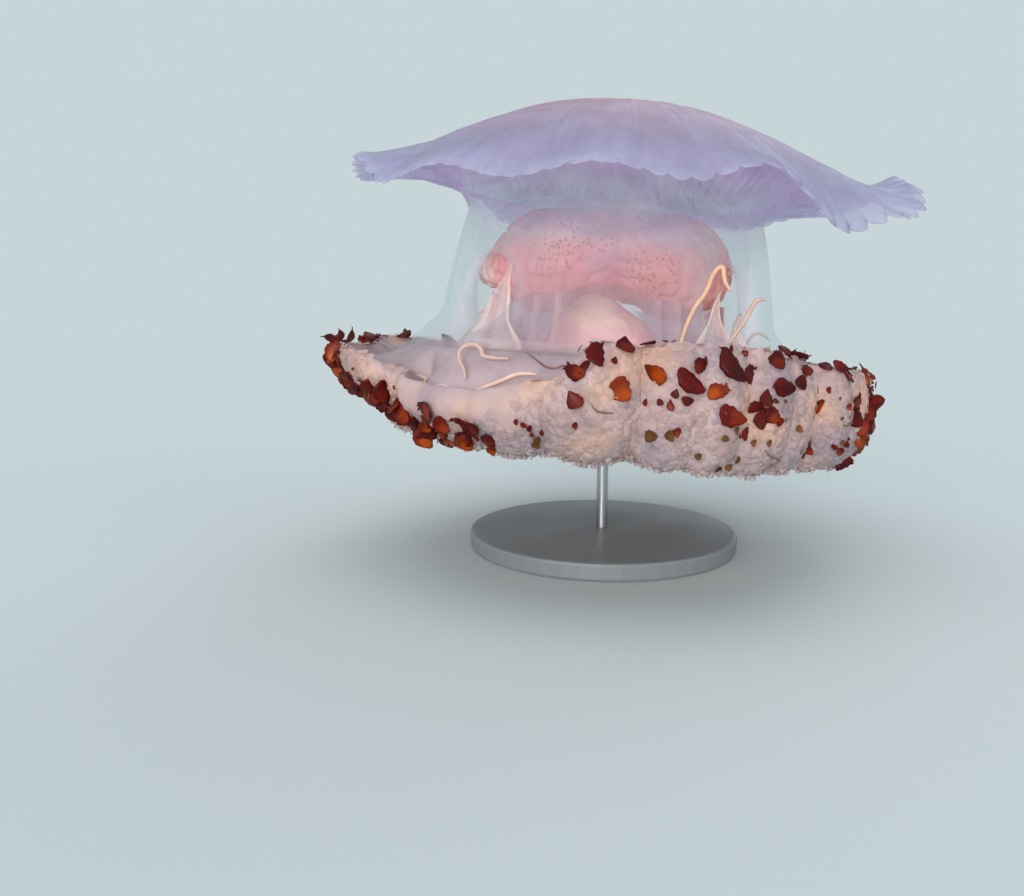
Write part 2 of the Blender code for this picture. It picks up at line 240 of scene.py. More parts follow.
def armFrame(azimuth, along):  # a point of the arms' skin, its outward normal and its downward direction
    point = onArm(azimuth, along)
    down = (onArm(azimuth, along + 0.01) - onArm(azimuth, along - 0.01)).normalized()
    aside = (onArm(azimuth + 0.004, along) - onArm(azimuth - 0.004, along)).normalized()
    normal = down.cross(aside).normalized()
    if normal.dot(point - polar(0.140, azimuth, -0.055)) < 0:
        normal.negate()
    return point + normal * armLump(point), normal, down


gonads = {
    "bag": ((0.056, 0.0685), (0.072, 0.0595), (0.082, 0.0475), (0.086, 0.034), (0.081, 0.0235),
            (0.071, 0.018), (0.055, 0.021), (0.036, 0.029), (0.0, 0.031)),
    "lobes": 4, "lobe": 0.06, "hang": 0.014, "steps": 320, "fold": 0.0018, "pleat": 0.0005, "furrow": 0.0022,
    "pressed": (radians(195), 0.018, 0.011),  # the left lobe: azimuth, height, how far it presses out
    "tints": stops((0.0, 206, 176, 198, 0.16), (0.2, 220, 166, 184, 0.40), (0.36, 234, 160, 170, 0.86),
                   (0.6, 244, 172, 166, 0.92), (0.74, 232, 160, 166, 0.78), (1.0, 226, 158, 170, 0.60)),
    "patchRadius": 0.084,
    "patches": (  # azimuth, height, size, tone and strength
        (247, 0.040, 0.026, tone(255, 176, 160), 0.55), (292, 0.022, 0.022, tone(255, 180, 156), 0.45),
        # the greyish-lilac patch at azimuth 269 is painted shade in the dip above the boss
        (269, 0.028, 0.024, tone(188, 150, 182), 0.60), (268, 0.046, 0.006, tone(255, 226, 224), 0.5),
        (80, 0.036, 0.026, tone(255, 176, 160), 0.55)),
    "peach": tone(246, 196, 172), "peachLobesPaintedLight": (207, 333, 27, 153), "pressedPaintedLight": tone(252, 226, 222),
    "spotPatches": ((247, 0.034), (250, 0.046), (262, 0.050), (288, 0.026), (70, 0.036), (110, 0.040),
                    (160, 0.034), (340, 0.034)),
    "look": {"blotchScale": 60, "blotch": 0.14, "grainScale": 260, "bump": 0.5, "bumpDepth": 0.0008,
             "roughness": 0.6, "wet": 0.1, "milk": 0.35, "through": 0.45, "clearScale": 30, "clear": 0.14,
             "spots": {"scale": 300, "size": 0.26, "strength": 0.85, "color": tone(176, 92, 104)}},
}


# Making pieces and materials


def newObject(name, data):
    made = bpy.data.objects.new(name, data)
    scene.collection.objects.link(made)
    return made


def finishPiece(name, mesh, material, slot, *nodes):
    mesh.transform(swimming)
    mesh.shade_smooth()
    mesh.materials.append(material)
    piece = newObject(name, mesh)
    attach(piece, "root")
    if nodes:
        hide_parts(*nodes)
    print(name + ":", len(mesh.polygons), "faces")


def meshOf(bm, name):
    mesh = bpy.data.meshes.new(name)
    bm.to_mesh(mesh)
    bm.free()
    return mesh


def spunForm(points, steps, feet=0):  # (radius, height) points spun to a form, with how far along each one is
    bm = bmesh.new()
    share = bm.verts.layers.float.new("share")
    line = [bm.verts.new((r, 0.0, z)) for r, z in points]
    for i, vert in enumerate(line[feet:]):
        vert[share] = i / (len(line) - feet - 1)
    edges = [bm.edges.new(pair) for pair in zip(line, line[1:])]
    bmesh.ops.spin(bm, geom=line + edges, cent=(0, 0, 0), axis=(0, 0, 1), angle=turn, steps=steps,
                   use_merge=True)
    bmesh.ops.remove_doubles(bm, verts=bm.verts, dist=1e-6)
    return bm, share


def faceOutwards(bm):
    bmesh.ops.recalc_face_normals(bm, faces=bm.faces)
    bm.normal_update()


def thicken(bm, thickness):  # a sheet to a thin solid
    bmesh.ops.recalc_face_normals(bm, faces=bm.faces)
    bmesh.ops.solidify(bm, geom=bm.faces[:], thickness=thickness)


def paint(mesh, tints):  # colour, and how much of the light the flesh stops, at each point
    layer = mesh.attributes.new("tint", "FLOAT_COLOR", "POINT")
    layer.data.foreach_set("color", np.array(tints, np.float32).ravel())


def addNode(tree, kind, **inputs):  # a shader node; each keyword is an input's name or its number
    node = tree.nodes.new("ShaderNode" + kind)
    for name, value in inputs.items():
        socket = node.inputs[int(name[5:]) if name.startswith("input") else name.replace("_", " ")]
        if isinstance(value, bpy.types.NodeSocket):
            tree.links.new(value, socket)
        else:
            socket.default_value = value
    return node


def blankMaterial(name):
    material = bpy.data.materials.new(name)
    material.use_nodes = True
    material.node_tree.nodes.clear()
    return material, material.node_tree


def finishShader(tree, shader):
    addNode(tree, "OutputMaterial", Surface=shader.outputs[0])


def blended(tree, share, first, second):
    return addNode(tree, "MixShader", Fac=share, input1=first.outputs[0], input2=second.outputs[0])


def mapped(tree, value, low, high, newLow, newHigh):
    return addNode(tree, "MapRange", Value=value, From_Min=low, From_Max=high, To_Min=newLow,
                   To_Max=newHigh).outputs["Result"]


def scaledNoise(tree, coords, scale, low, high, detail=3.0):
    cloud = addNode(tree, "TexNoise", Vector=coords, Scale=scale, Detail=detail)
    return mapped(tree, cloud.outputs["Fac"], 0.3, 0.7, low, high)


def attribute(tree, name):
    node = addNode(tree, "Attribute")
    node.attribute_name = name
    return node.outputs


def times(tree, a, b):
    node = addNode(tree, "Math", input0=a, input1=b)
    node.operation = "MULTIPLY"
    node.use_clamp = True
    return node.outputs["Value"]


def fleshMaterial(name, look):
    material, tree = blankMaterial(name)
    coords = addNode(tree, "TexCoord").outputs["Object"]
    tint = attribute(tree, "tint")
    blotch = scaledNoise(tree, coords, look["blotchScale"], 1.0 - look["blotch"], 1.0 + look["blotch"])
    shade = addNode(tree, "VectorMath", input0=tint["Color"], input1=blotch)
    shade.operation = "MULTIPLY"
    color = shade.outputs["Vector"]
    if "spots" in look:
        color = spotted(tree, coords, attribute(tree, "spots")["Fac"], color, look["spots"])
    grain = scaledNoise(tree, coords, look["grainScale"], 0.0, 1.0, 4.0)
    bump = addNode(tree, "Bump", Strength=look["bump"], Distance=look["bumpDepth"],
                   Height=grain).outputs["Normal"]
    body = addNode(tree, "BsdfPrincipled", Base_Color=color, Roughness=look["roughness"],
                   Normal=bump, IOR=1.38, Specular_IOR_Level=look.get("specular", 0.5),
                   Coat_Weight=look["wet"], Coat_Roughness=0.12, Subsurface_Weight=look["milk"],
                   Subsurface_Scale=0.008, Subsurface_Radius=(1.0, 0.62, 0.55))
    through = addNode(tree, "BsdfTranslucent", Color=color, Normal=bump)
    glowing = blended(tree, look["through"], body, through)
    cover = times(tree, tint["Alpha"], scaledNoise(tree, coords, look["clearScale"],
                                                   1.0 - look["clear"], 1.0 + look["clear"]))
    finishShader(tree, blended(tree, cover, addNode(tree, "BsdfTransparent"), glowing))
    return material


def spotted(tree, coords, patches, color, spots):  # small dark dots in the mesh's spotted patches
    cells = addNode(tree, "TexVoronoi", Vector=coords, Scale=spots["scale"])
    near = mapped(tree, cells.outputs["Distance"], spots["size"], spots["size"] * 1.5, spots["strength"], 0.0)
    mix = tree.nodes.new("ShaderNodeMix")
    mix.data_type = "RGBA"
    tree.links.new(times(tree, near, patches), mix.inputs["Factor"])
    tree.links.new(color, mix.inputs["A"])
    mix.inputs["B"].default_value = spots["color"]
    return mix.outputs["Result"]


# The skin: bell, column, arm disc and arms as one closed surface

skin = {
    "quarterSteps": 120, "gathered": radians(313), "windowBulge": 0.0035,
    "rosy": tone(232, 174, 182, 0.26), "cream": tone(238, 196, 166), "grey": tone(172, 158, 176),
    "mist": tone(204, 182, 188), "misty": 0.75, "faceEnds": 0.66,
    # how far each kind of relief stands out
    "relief": {"streaks": 0.0005, "crown": 0.0012, "ribs": 0.0008, "gathers": 0.0016, "column": 0.0010,
               "disc": 0.0012},
    "tray": (radians(243), 0.34, 0.46, 0.26),  # azimuth, width, and where it fades out down the face
    "zones": ("bellTop", "bellUnder", "column", "arm", "roof", "innerWall", "disc", "windowEdge"),
    "tints": {  # colour and cover along each zone
        "bellTop": stops((0.0, 196, 148, 158, 0.84), (0.25, 182, 146, 160, 0.82),
                         (0.45, 164, 148, 174, 0.79), (0.8, 150, 148, 178, 0.68),
                         (0.955, 154, 156, 184, 0.52), (1.0, 166, 168, 192, 0.50)),
        # the underside is painted lighter than the top: painted light against the shade under the brim
        "bellUnder": stops((0.0, 166, 168, 192, 0.50), (0.12, 200, 194, 230, 0.50),
                           (0.7, 224, 206, 248, 0.60), (1.0, 198, 206, 232, 0.34)),
        "column": stops((0.0, 176, 190, 206, 0.30), (0.25, 176, 214, 224, 0.17),
                        (0.75, 178, 214, 224, 0.16), (0.90, 190, 206, 216, 0.16),
                        (1.0, 192, 188, 198, 0.54)),
        "arm": stops((0.0, 192, 188, 198, 0.54), (0.06, 188, 174, 178, 0.92), (0.20, 204, 180, 180, 0.97),
                     (0.42, 212, 184, 180, 0.98), (0.56, 200, 186, 188, 0.97),
                     (0.66, 214, 196, 194, 0.98), (1.0, 206, 182, 184, 0.98)),
        "roof": stops((0.0, 214, 190, 206, 0.22), (1.0, 206, 194, 214, 0.10)),
        "innerWall": stops((0.0, 206, 200, 214, 0.08), (0.2, 188, 222, 230, 0.10),
                           (0.8, 196, 216, 226, 0.12), (1.0, 232, 206, 212, 0.26)),
        "disc": stops((0.0, 236, 202, 200, 0.84), (0.22, 246, 198, 198, 0.90),
                      (0.45, 255, 206, 202, 0.96), (1.0, 255, 212, 196, 0.98)),
        "windowEdge": stops((1.0, 224, 220, 226, 0.34)),
    },
    "look": {"blotchScale": 55, "blotch": 0.10, "grainScale": 420, "bump": 0.35, "bumpDepth": 0.0006,
             "roughness": 0.55, "wet": 0.10, "milk": 0.25, "through": 0.40, "clearScale": 34,
             "clear": 0.16},
}


def skinChains():
    middle, half, rows = column["windowMiddle"], column["windowHalfHeight"], column["windowRows"]
    window = [middle + half * cos(pi * i / rows) for i in range(rows + 1)]
    above = [bell["roof"] - (bell["roof"] - window[0]) * i / 5 for i in range(5)]
    wall = [*above, *window]
    outer = [
        ("bellTop", rounded(bell["top"], 5)),
        ("bellUnder", rounded(bell["under"], 3)),
        ("column", [(columnRadius(z), z) for z in wall]),
        ("arm", rounded(arm["section"], 5)),
    ]
    top = bell["roof"] - 0.0003
    inner = [
        ("roof", [(0.0, top), (0.03, top), (0.06, top), (0.08, top)]),
        ("innerWall", [(innerRadius(z), z) for z in wall[1:]]),
        ("disc", rounded(disc, 4)),
    ]
    return outer, inner


def spinQuarter(parts, middle):
    bm = bmesh.new()
    zone = bm.verts.layers.float.new("zone")
    share = bm.verts.layers.float.new("share")
    for name, points in parts:
        for i, (r, z) in enumerate(points):
            vert = bm.verts.new((r, 0.0, z))
            vert[zone] = skin["zones"].index(name)
            vert[share] = i / (len(points) - 1)
    line = bm.verts[:]
    edges = [bm.edges.new(pair) for pair in zip(line, line[1:])]
    bmesh.ops.rotate(bm, verts=line, cent=(0, 0, 0), matrix=Matrix.Rotation(middle - turn / 8, 3, "Z"))
    bmesh.ops.spin(bm, geom=line + edges, cent=(0, 0, 0), axis=(0, 0, 1), angle=turn / 4,
                   steps=skin["quarterSteps"], use_merge=False)
    for vert in bm.verts:
        name = skin["zones"][round(vert[zone])]
        r, azimuth, z = radiusOf(vert.co), azimuthOf(vert.co), vert.co.z
        if name in ("bellTop", "bellUnder"):
            vert.co = brimPose(r, azimuth, z)
        elif name in ("column", "innerWall"):
            vert.co = pillarPose(r, azimuth, z, middle)
            if name == "innerWall":
                now = azimuthOf(vert.co)
                vert.co += polar(lobeGive(now, z) * 0.8, now, 0.0)
        elif name == "arm":
            vert.co = armPose(r, azimuth, z)
    return meshOf(bm, "skinQuarter")


def roundWindows(bm, zone):  # joins the wall's outer and inner face round each window, with a full edge
    rims = [e for e in bm.edges if e.is_boundary]
    for quarter in range(column["quarters"]):
        middle = (quarter + 0.5) * turn / column["quarters"]
        rim = [e for e in rims if abs(wrapped(azimuthOf(e.verts[0].co + e.verts[1].co) - middle)) < 0.5]
        faces = bmesh.ops.bridge_loops(bm, edges=rim)["faces"]
        across = list({e for f in faces for e in f.edges} - set(rim))
        inside = bmesh.ops.subdivide_edges(bm, edges=across, cuts=3)["geom_inner"]
        centre = polar(0.105, middle, column["windowMiddle"])
        for vert in [v for v in inside if isinstance(v, bmesh.types.BMVert)]:
            vert[zone] = skin["zones"].index("windowEdge")
            inner, outer = innerRadius(vert.co.z), columnRadius(vert.co.z)
            across = min(max((radiusOf(vert.co) - inner) / (outer - inner), 0.0), 1.0)
            towards = (centre - vert.co).normalized()
            vert.co += towards * skin["windowBulge"] * 4 * across * (1 - across)


def skinRelief(name, share, azimuth, point):  # how far the skin stands out of its smooth form
    r, relief = radiusOf(point), skin["relief"]
    if name == "bellTop":
        streaks = relief["streaks"] * noise.noise(Vector((azimuth * 26, r * 14, 1.0)))
        crown = relief["crown"] * ripple(point, 26, 2) * smooth(0.0, 0.5, share)
        return streaks * smooth(0.02, 0.08, r) + crown
    if name == "bellUnder":
        ribs = relief["ribs"] * cos(azimuth * 96 + 3 * ripple(point, 14))
        near = wrapped(azimuth - skin["gathered"]) / 0.26
        gathered = relief["gathers"] * sin(azimuth * 84 + share * 9) * exp(-near * near)
        gathered *= smooth(0.2, 0.45, share)
        return (ribs * smooth(0.0, 0.2, share) + gathered) * (1.0 - smooth(0.8, 1.0, share))
    if name == "column":
        waves = noise.noise(Vector((azimuth * 9, point.z * 20, 5.0)))
        return relief["column"] * waves * smooth(0.0, 0.2, share)
    if name == "arm":
        return armLump(point) * smooth(0.04, 0.12, share) * (1.0 - smooth(0.8, 1.0, share))
    if name == "disc":
        lumps = relief["disc"] * ripple(point, 70, 8)
        return lumps * smooth(0.0, 0.2, share) * (1.0 - smooth(0.9, 1.0, share))
    return 0.0


def buildSkin():
    bm = bmesh.new()
    zone = bm.verts.layers.float.new("zone")
    share = bm.verts.layers.float.new("share")
    outer, inner = skinChains()
    for quarter in range(column["quarters"]):
        for parts in (outer, inner):
            mesh = spinQuarter(parts, quarter * turn / column["quarters"])
            bm.from_mesh(mesh)
            bpy.data.meshes.remove(mesh)
    bmesh.ops.remove_doubles(bm, verts=bm.verts, dist=2e-5)
    roundWindows(bm, zone)
    faceOutwards(bm)
    tints = []
    for vert in bm.verts:
        name, along = skin["zones"][round(vert[zone])], vert[share]
        azimuth = azimuthOf(vert.co)
        tints.append(skinTint(name, along, azimuth, vert.co))
        vert.co += vert.normal * skinRelief(name, along, azimuth, vert.co)
    mesh = meshOf(bm, "bodySkin")
    for layer in ("zone", "share"):
        mesh.attributes.remove(mesh.attributes[layer])
    paint(mesh, tints)
    nodes = [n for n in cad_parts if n.startswith(("bell_", "oral_", "arm_"))]
    finishPiece("bodySkin", mesh, fleshMaterial("jellyFlesh", skin["look"]), "bell_jelly", *nodes)


def mottled(color, point, amount):  # cream patches, partly the flesh's own mottling and partly painted highlights, and lilac-grey patches through the arms' flesh
    cream = smooth(0.05, 0.45, ripple(point, 34, 6)) * amount
    grey = smooth(0.0, 0.5, ripple(point, 44, 9))
    return mixed(mixed(color[:3], skin["cream"], 0.5 * cream), skin["grey"], 0.5 * grey)


def trayShare(azimuth, along):  # the low rim in front, as pale and smooth as the tray behind it
    middle, width, low, high = skin["tray"]
    return exp(-(wrapped(azimuth - middle) / width) ** 2) * smooth(low, high, along)


def skinTint(name, share, azimuth, point):
    *color, cover = stepped(skin["tints"][name], share)
    if name in ("bellTop", "bellUnder"):
        streak = noise.noise(Vector((azimuth * 34, share * 2.0, 3.0)))
        cover *= 1.0 + 0.22 * streak
        color = [c * (1.0 + 0.06 * streak) for c in color]
    if name in ("column", "innerWall"):  # rosy where the gonads shine through, front and back
        warm = sin(azimuth) ** 4 * smooth(0.0, 0.35, share) * (1.0 - 0.75 * smooth(0.50, 0.72, share))
        *color, cover = mixed((*color, cover), skin["rosy"], 0.75 * warm)
    if name == "arm":
        paler = skin["misty"] * trayShare(azimuth, share / skin["faceEnds"])
        color = mixed(mottled(color, point, smooth(0.08, 0.2, share)), skin["mist"], paler)
    return (*color, min(max(cover, 0.0), 1.0))


buildSkin()


# The stomach with its gonads, hung from the roof, and the thin membranes round it

def stomachPose(r, azimuth, z):
    lobe = cos(gonads["lobes"] * (azimuth - pi / gonads["lobes"]))
    hang = gonads["hang"] * (0.5 + 0.5 * lobe) * smooth(0.03, 0.07, r) * smooth(0.060, 0.020, z)
    r *= 1.0 + gonads["lobe"] * lobe * smooth(0.02, 0.06, r)
    return polar(r + lobeGive(azimuth, z - hang) * smooth(0.05, 0.08, r), azimuth, z - hang)


def awayFrom(point, azimuth, z):  # how far a point is from a patch's middle on the stomach
    return (point - polar(gonads["patchRadius"], radians(azimuth), z)).length


def buildStomach():
    points = [(0.0, gonads["bag"][0][1]), (0.04, gonads["bag"][0][1]), *rounded(gonads["bag"], 12)]
    bm, share = spunForm(points, gonads["steps"])
    for vert in bm.verts:
        vert.co = stomachPose(radiusOf(vert.co), azimuthOf(vert.co), vert.co.z)
    faceOutwards(bm)
    tints, spots = [], []
    for vert in bm.verts:
        azimuth = azimuthOf(vert.co)
        folds = gonads["fold"] * ripple(vert.co, 48, 3)
        folds += gonads["pleat"] * sin(azimuth * 64 + 6 * ripple(vert.co, 30))
        crease = smooth(0.30, 0.0, abs(ripple(vert.co, 62, 17)))  # furrows between the gonad's folds
        folds -= gonads["furrow"] * crease * smooth(0.065, 0.050, vert.co.z)
        spots.append(max(smooth(0.024, 0.010, awayFrom(vert.co, a, z)) for a, z in gonads["spotPatches"]))
        *color, cover = stepped(gonads["tints"], vert[share])
        # peach on the stomach's lobes and sides: partly its own peach, partly painted light against the shade
        # there
        lobe = max(exp(-(wrapped(azimuth - radians(a)) / 0.3) ** 2) for a in gonads["peachLobesPaintedLight"])
        lobe = max(lobe, smooth(0.05, 0.45, ripple(vert.co, 40, 12)))
        color = mixed(color, gonads["peach"], 0.45 * lobe)
        for a, z, size, patchTone, strength in gonads["patches"]:
            away = awayFrom(vert.co, a, z) * (1.0 + 0.3 * ripple(vert.co, 90, 4))
            color = mixed(color, patchTone, strength * smooth(size, 0.3 * size, away))
        # the pressed left lobe is mixed toward near-white: partly its own pale tone, partly painted light
        # against the shade on its left side
        color = mixed(color, gonads["pressedPaintedLight"], min(220 * lobeGive(azimuth, vert.co.z), 0.85))
        tints.append((*color, cover))
        vert.co += vert.normal * (folds - 0.001) * smooth(0.02, 0.06, radiusOf(vert.co))
    mesh = meshOf(bm, "stomachFolds")
    paint(mesh, tints)
    mesh.attributes.new("spots", "FLOAT", "POINT").data.foreach_set("value", spots)
    finishPiece("stomachFolds", mesh, fleshMaterial("gonadFlesh", gonads["look"]), "gonad", "stomach")


buildStomach()


gathers = {
    "foot": -0.0262, "thick": 0.0009, "sheet": tone(240, 222, 220, 0.34), "hem": tone(252, 236, 222, 0.88),
    # azimuth of the middle, half its width in degrees, height of its peak, which way the peak leans
    "tents": ((233, 13, 0.026, 4), (306, 10, 0.017, 3), (317, 8, 0.006, 4), (52, 12, 0.022, 4),
              (132, 12, 0.020, -4)),
    "look": {"blotchScale": 80, "blotch": 0.10, "grainScale": 400, "bump": 0.2, "bumpDepth": 0.0004,
             "roughness": 0.5, "wet": 0.1, "milk": 0.2, "through": 0.5, "clearScale": 60, "clear": 0.2},
}


def buildGathers():  # cream membranes drawn up like small tents inside the windows
    bm = bmesh.new()
    tint = bm.verts.layers.float_color.new("tint")
    for middle, half, top, lean in gathers["tents"]:
        made = bmesh.ops.create_grid(bm, x_segments=20, y_segments=16, size=0.5)["verts"]
        for vert in made:
            side, level = vert.co.x * 2, vert.co.y + 0.5
            uneven = 1.0 + 0.12 * sin(level * 11 + middle)
            spread = half * (1.0 - level) ** 1.5 * uneven + 0.8 * (1.04 - level) ** 0.6
            azimuth = radians(middle + side * spread + lean * level ** 3)
            r = 0.106 + 0.014 * (1.0 - level) ** 2 - 0.004 * cos(side * pi / 2) * (1.0 - level)
            r += 0.0024 * sin(side * 8 + level * 3) * (1.0 - level) ** 0.7
            vert.co = polar(r, azimuth, gathers["foot"] + (top - gathers["foot"]) * level)
            hem = max(smooth(0.72, 0.95, abs(side)), smooth(0.90, 1.0, level), smooth(0.10, 0.0, level))
            vert[tint] = mixed(gathers["sheet"], gathers["hem"], hem)
    thicken(bm, gathers["thick"])
    look = fleshMaterial("gatherFlesh", gathers["look"])
    finishPiece("windowGathers", meshOf(bm, "windowGathers"), look, "gonad")


boss = {
    "profile": ((0.050, -0.0244), (0.043, -0.019), (0.037, -0.0095), (0.031, -0.0005), (0.021, 0.0075),
                (0.010, 0.0155), (0.0, 0.0185)),
    "steps": 160, "ripple": 0.0011, "lean": -0.008,
    "tints": stops((0.0, 240, 194, 196), (0.25, 255, 200, 202), (0.60, 255, 208, 200),
                   (1.0, 255, 222, 210)),
    "paintedFrontLight": (radians(268), 0.9, tone(255, 230, 206)),  # azimuth, width and tone of the painted light on its front
    "look": dict(gonads["look"], through=0.06, milk=0.15, blotch=0.06, bump=0.35, clear=0.0),
}
boss["look"].pop("spots")


def buildBoss():  # the fleshy boss on the arm disc, closed underneath inside the disc
    dome = rounded(boss["profile"], 6)
    foot = dome[0][1] - 0.003
    bm, share = spunForm([(0.0, foot), (dome[0][0] + 0.002, foot), *dome], boss["steps"], feet=2)
    faceOutwards(bm)
    middle, width, paintedFrontLight = boss["paintedFrontLight"]
    tints = []
    for vert in bm.verts:
        # painted light: the boss's front is mixed toward a pale tone, as if lit
        lit = smooth(width, 0.0, abs(wrapped(azimuthOf(vert.co) - middle))) * smooth(0.25, 0.55, vert[share])
        tints.append(mixed(stepped(boss["tints"], vert[share]), paintedFrontLight, 0.8 * lit))
        folds = boss["ripple"] * (ripple(vert.co, 70, 8) + 0.4 * ripple(vert.co, 180, 5))
        vert.co += vert.normal * folds * smooth(0.0, 0.2, vert[share]) * smooth(0.0, 0.01, vert.co.xy.length)
        vert.co.x += boss["lean"] * smooth(0.15, 1.0, vert[share])
    mesh = meshOf(bm, "discBoss")
    paint(mesh, tints)
    finishPiece("discBoss", mesh, fleshMaterial("bossFlesh", boss["look"]), "gonad")


buildBoss()


curtain = {
    "radius": 0.079, "foot": -0.0258, "top": 0.014, "rows": 8, "steps": 240, "dip": 0.004,
    "folds": 26, "fold": 0.0022, "thick": 0.0006, "parted": (radians(12), radians(24)),
    "sheet": tone(212, 172, 188, 0.36), "streak": tone(232, 200, 200, 0.50),
}


def buildCurtain():  # a thin folded sheet from the stomach's edge to the disc, parted in front of the boss
    foot, high, rows = curtain["foot"], curtain["top"] - curtain["foot"], curtain["rows"]
    line = [(curtain["radius"], foot + high * i / rows) for i in range(rows + 1)]
    bm, share = spunForm(line, curtain["steps"])
    bm.verts.layers.float.remove(share)
    tint = bm.verts.layers.float_color.new("tint")
    for vert in bm.verts:
        azimuth = azimuthOf(vert.co)
        level = (vert.co.z - foot) / high
        vert.co.z -= curtain["dip"] * level * (0.5 + 0.5 * cos(gonads["lobes"] * (azimuth - turn / 8)))
        phase = azimuth * curtain["folds"] + 3.0 * ripple(polar(0.05, azimuth, 0), 40) + 0.8 * level
        out = curtain["fold"] * sin(phase) * (1.0 - 0.5 * level) + 0.008 * (1 - level) ** 2
        vert.co += polar(out, azimuth, 0)
        *color, cover = mixed(curtain["sheet"], curtain["streak"], smooth(0.3, 1.0, sin(phase)))
        away = min(abs(wrapped(azimuth - turn / 4)), abs(wrapped(azimuth + turn / 4)))
        vert[tint] = (*color, cover * smooth(*curtain["parted"], away))
    thicken(bm, curtain["thick"])
    look = fleshMaterial("curtainFlesh", gathers["look"])
    finishPiece("stomachCurtain", meshOf(bm, "stomachCurtain"), look, "gonad")


buildCurtain()
buildGathers()


# The arms' coat: ruffled frills, mouthlets and leaf-like appendages

coatLook = {"blotchScale": 120, "blotch": 0.06, "grainScale": 700, "bump": 0.2, "bumpDepth": 0.0003,
            "roughness": 0.6, "wet": 0.08, "milk": 0.3, "through": 0.5, "clearScale": 60, "clear": 0.08}
bakePatch = 0.003  # across one tuft's patch on the skin's unwrap


def bakeLayer(mesh, places):  # one (u, v) for each point
    layer = mesh.uv_layers.new(name="OFBake")
    corners = np.zeros(len(mesh.loops), np.int32)
    mesh.loops.foreach_get("vertex_index", corners)
    layer.data.foreach_set("uv", np.array(places, np.float32)[corners].ravel())


def joinedMesh(name, units, tuftLists):  # copies of a few small shapes as a single mesh
    allPoints, allPlaces, allTints, allFaces = [], [], [], []
    start = 0
    for (points, faces, flat, shade), tufts in zip(units, tuftLists):
        for tuft in tufts:
            allPoints.append(points @ tuft["axes"] + tuft["root"])
            allPlaces.append((flat - 0.5) * bakePatch + tuft["place"])
            root, tip = np.array(tuft["rootTint"]), np.array(tuft["tipTint"])
            allTints.append(root + (tip - root) * shade[:, None])
            allFaces += [[corner + start for corner in face] for face in faces]
            start += len(points)
    mesh = bpy.data.meshes.new(name)
    mesh.from_pydata(np.concatenate(allPoints).tolist(), [], allFaces)
    bakeLayer(mesh, np.concatenate(allPlaces))
    paint(mesh, np.concatenate(allTints))
    return mesh


def unitOf(bm, flatOf, shadeOf):
    bm.verts.index_update()
    points = np.array([v.co for v in bm.verts])
    faces = [[v.index for v in f.verts] for f in bm.faces]
    flat = np.array([flatOf(v.co) for v in bm.verts])
    shade = np.array([shadeOf(v.co) for v in bm.verts])
    bm.free()
    return points, faces, flat, shade


def flatGrid(columns, rows):
    bm = bmesh.new()
    bmesh.ops.create_grid(bm, x_segments=columns, y_segments=rows, size=0.5)
    return bm


def tuftAxes(along, normal, width, length, height, roll=0.0):  # where a unit shape's x, y and z point
    along = along.normalized()
    across = Matrix.Rotation(roll, 3, along) @ along.cross(normal).normalized()
    up = across.cross(along)
    return np.array([across * width, along * length, up * height])


def tuftOf(axes, root, azimuth, along, rootTint, tipTint):
    return {"axes": axes, "root": root, "place": ((azimuth / turn) % 1.0, along), "rootTint": rootTint,
            "tipTint": tipTint}


def turned(normal, down, angle):  # a direction in the flesh's surface, this far round from straight down
    return Matrix.Rotation(angle, 3, normal) @ down


frillFlesh = fleshMaterial("frillFlesh", coatLook)
frills = {
    "florets": {"from": 0.15, "to": 0.63, "spacing": 0.0038, "widest": 0.0042, "narrowest": 0.0022,
                "lowest": 0.0003, "highest": 0.0010},
    "crests": {"from": 0.60, "to": 0.90, "spacing": 0.0046, "shortest": 0.0060, "longest": 0.0120,
               "lowest": 0.0012, "highest": 0.0024, "thick": 0.14},
    "root": tone(210, 184, 182, 0.98), "floretTip": tone(214, 187, 184, 0.97),
    # low: a greyer tone, painted shade toward the bottom of the face
    "crestTip": tone(226, 208, 203, 0.92), "low": tone(196, 184, 188),
    "bare": 1.4,  # how surely the tray's florets are left out
}


def crestUnit(phase):  # a short ruffled crest: x is its sway, y its length, z its height
    bm = flatGrid(1, 6)
    for vert in bm.verts:
        level, along = vert.co.x + 0.5, vert.co.y
        arch = 1.0 - 0.85 * (2 * along) ** 2
        sway = 0.75 * sin(along * 8 + phase)
        vert.co = Vector((sway * (0.6 + 0.4 * level), along, level * arch))
    thicken(bm, frills["crests"]["thick"])
    return unitOf(bm, lambda p: (0.5 + p.z * 0.5, 0.5 + p.y * 0.9), lambda p: min(max(p.z, 0.0), 1.0))


def floretUnit(phase, lobes):  # a low lobed cushion with a dimple, one unit wide and high
    bm = bmesh.new()
    bmesh.ops.create_circle(bm, cap_ends=True, segments=11, radius=0.34)
    cap = bm.faces[:]
    bmesh.ops.inset_region(bm, faces=cap, thickness=0.17)
    bmesh.ops.poke(bm, faces=[f for f in bm.faces if len(f.verts) > 4])
    foot = bmesh.ops.extrude_edge_only(bm, edges=[e for e in bm.edges if e.is_boundary])["geom"]
    for vert in [v for v in foot if isinstance(v, bmesh.types.BMVert)]:
        vert.co *= 1.6
        vert.co.z = -1.0
    for vert in bm.verts:
        r, angle = vert.co.xy.length, azimuthOf(vert.co)
        height = 0.72 if r > 0.25 else 0.9 if r < 0.05 else 1.0
        uneven = 0.18 * sin(3 * angle + phase) * smooth(0.0, 0.2, r)
        vert.co.xy *= 1.0 + 0.22 * sin(lobes * angle + phase) * smooth(0.0, 0.3, r)
        vert.co.z = height + uneven if vert.co.z > -0.5 else -0.25
    bmesh.ops.recalc_face_normals(bm, faces=bm.faces)
    return unitOf(bm, lambda p: (0.5 + p.x * 0.8, 0.5 + p.y * 0.8), lambda p: min(max(p.z, 0.0), 1.0))


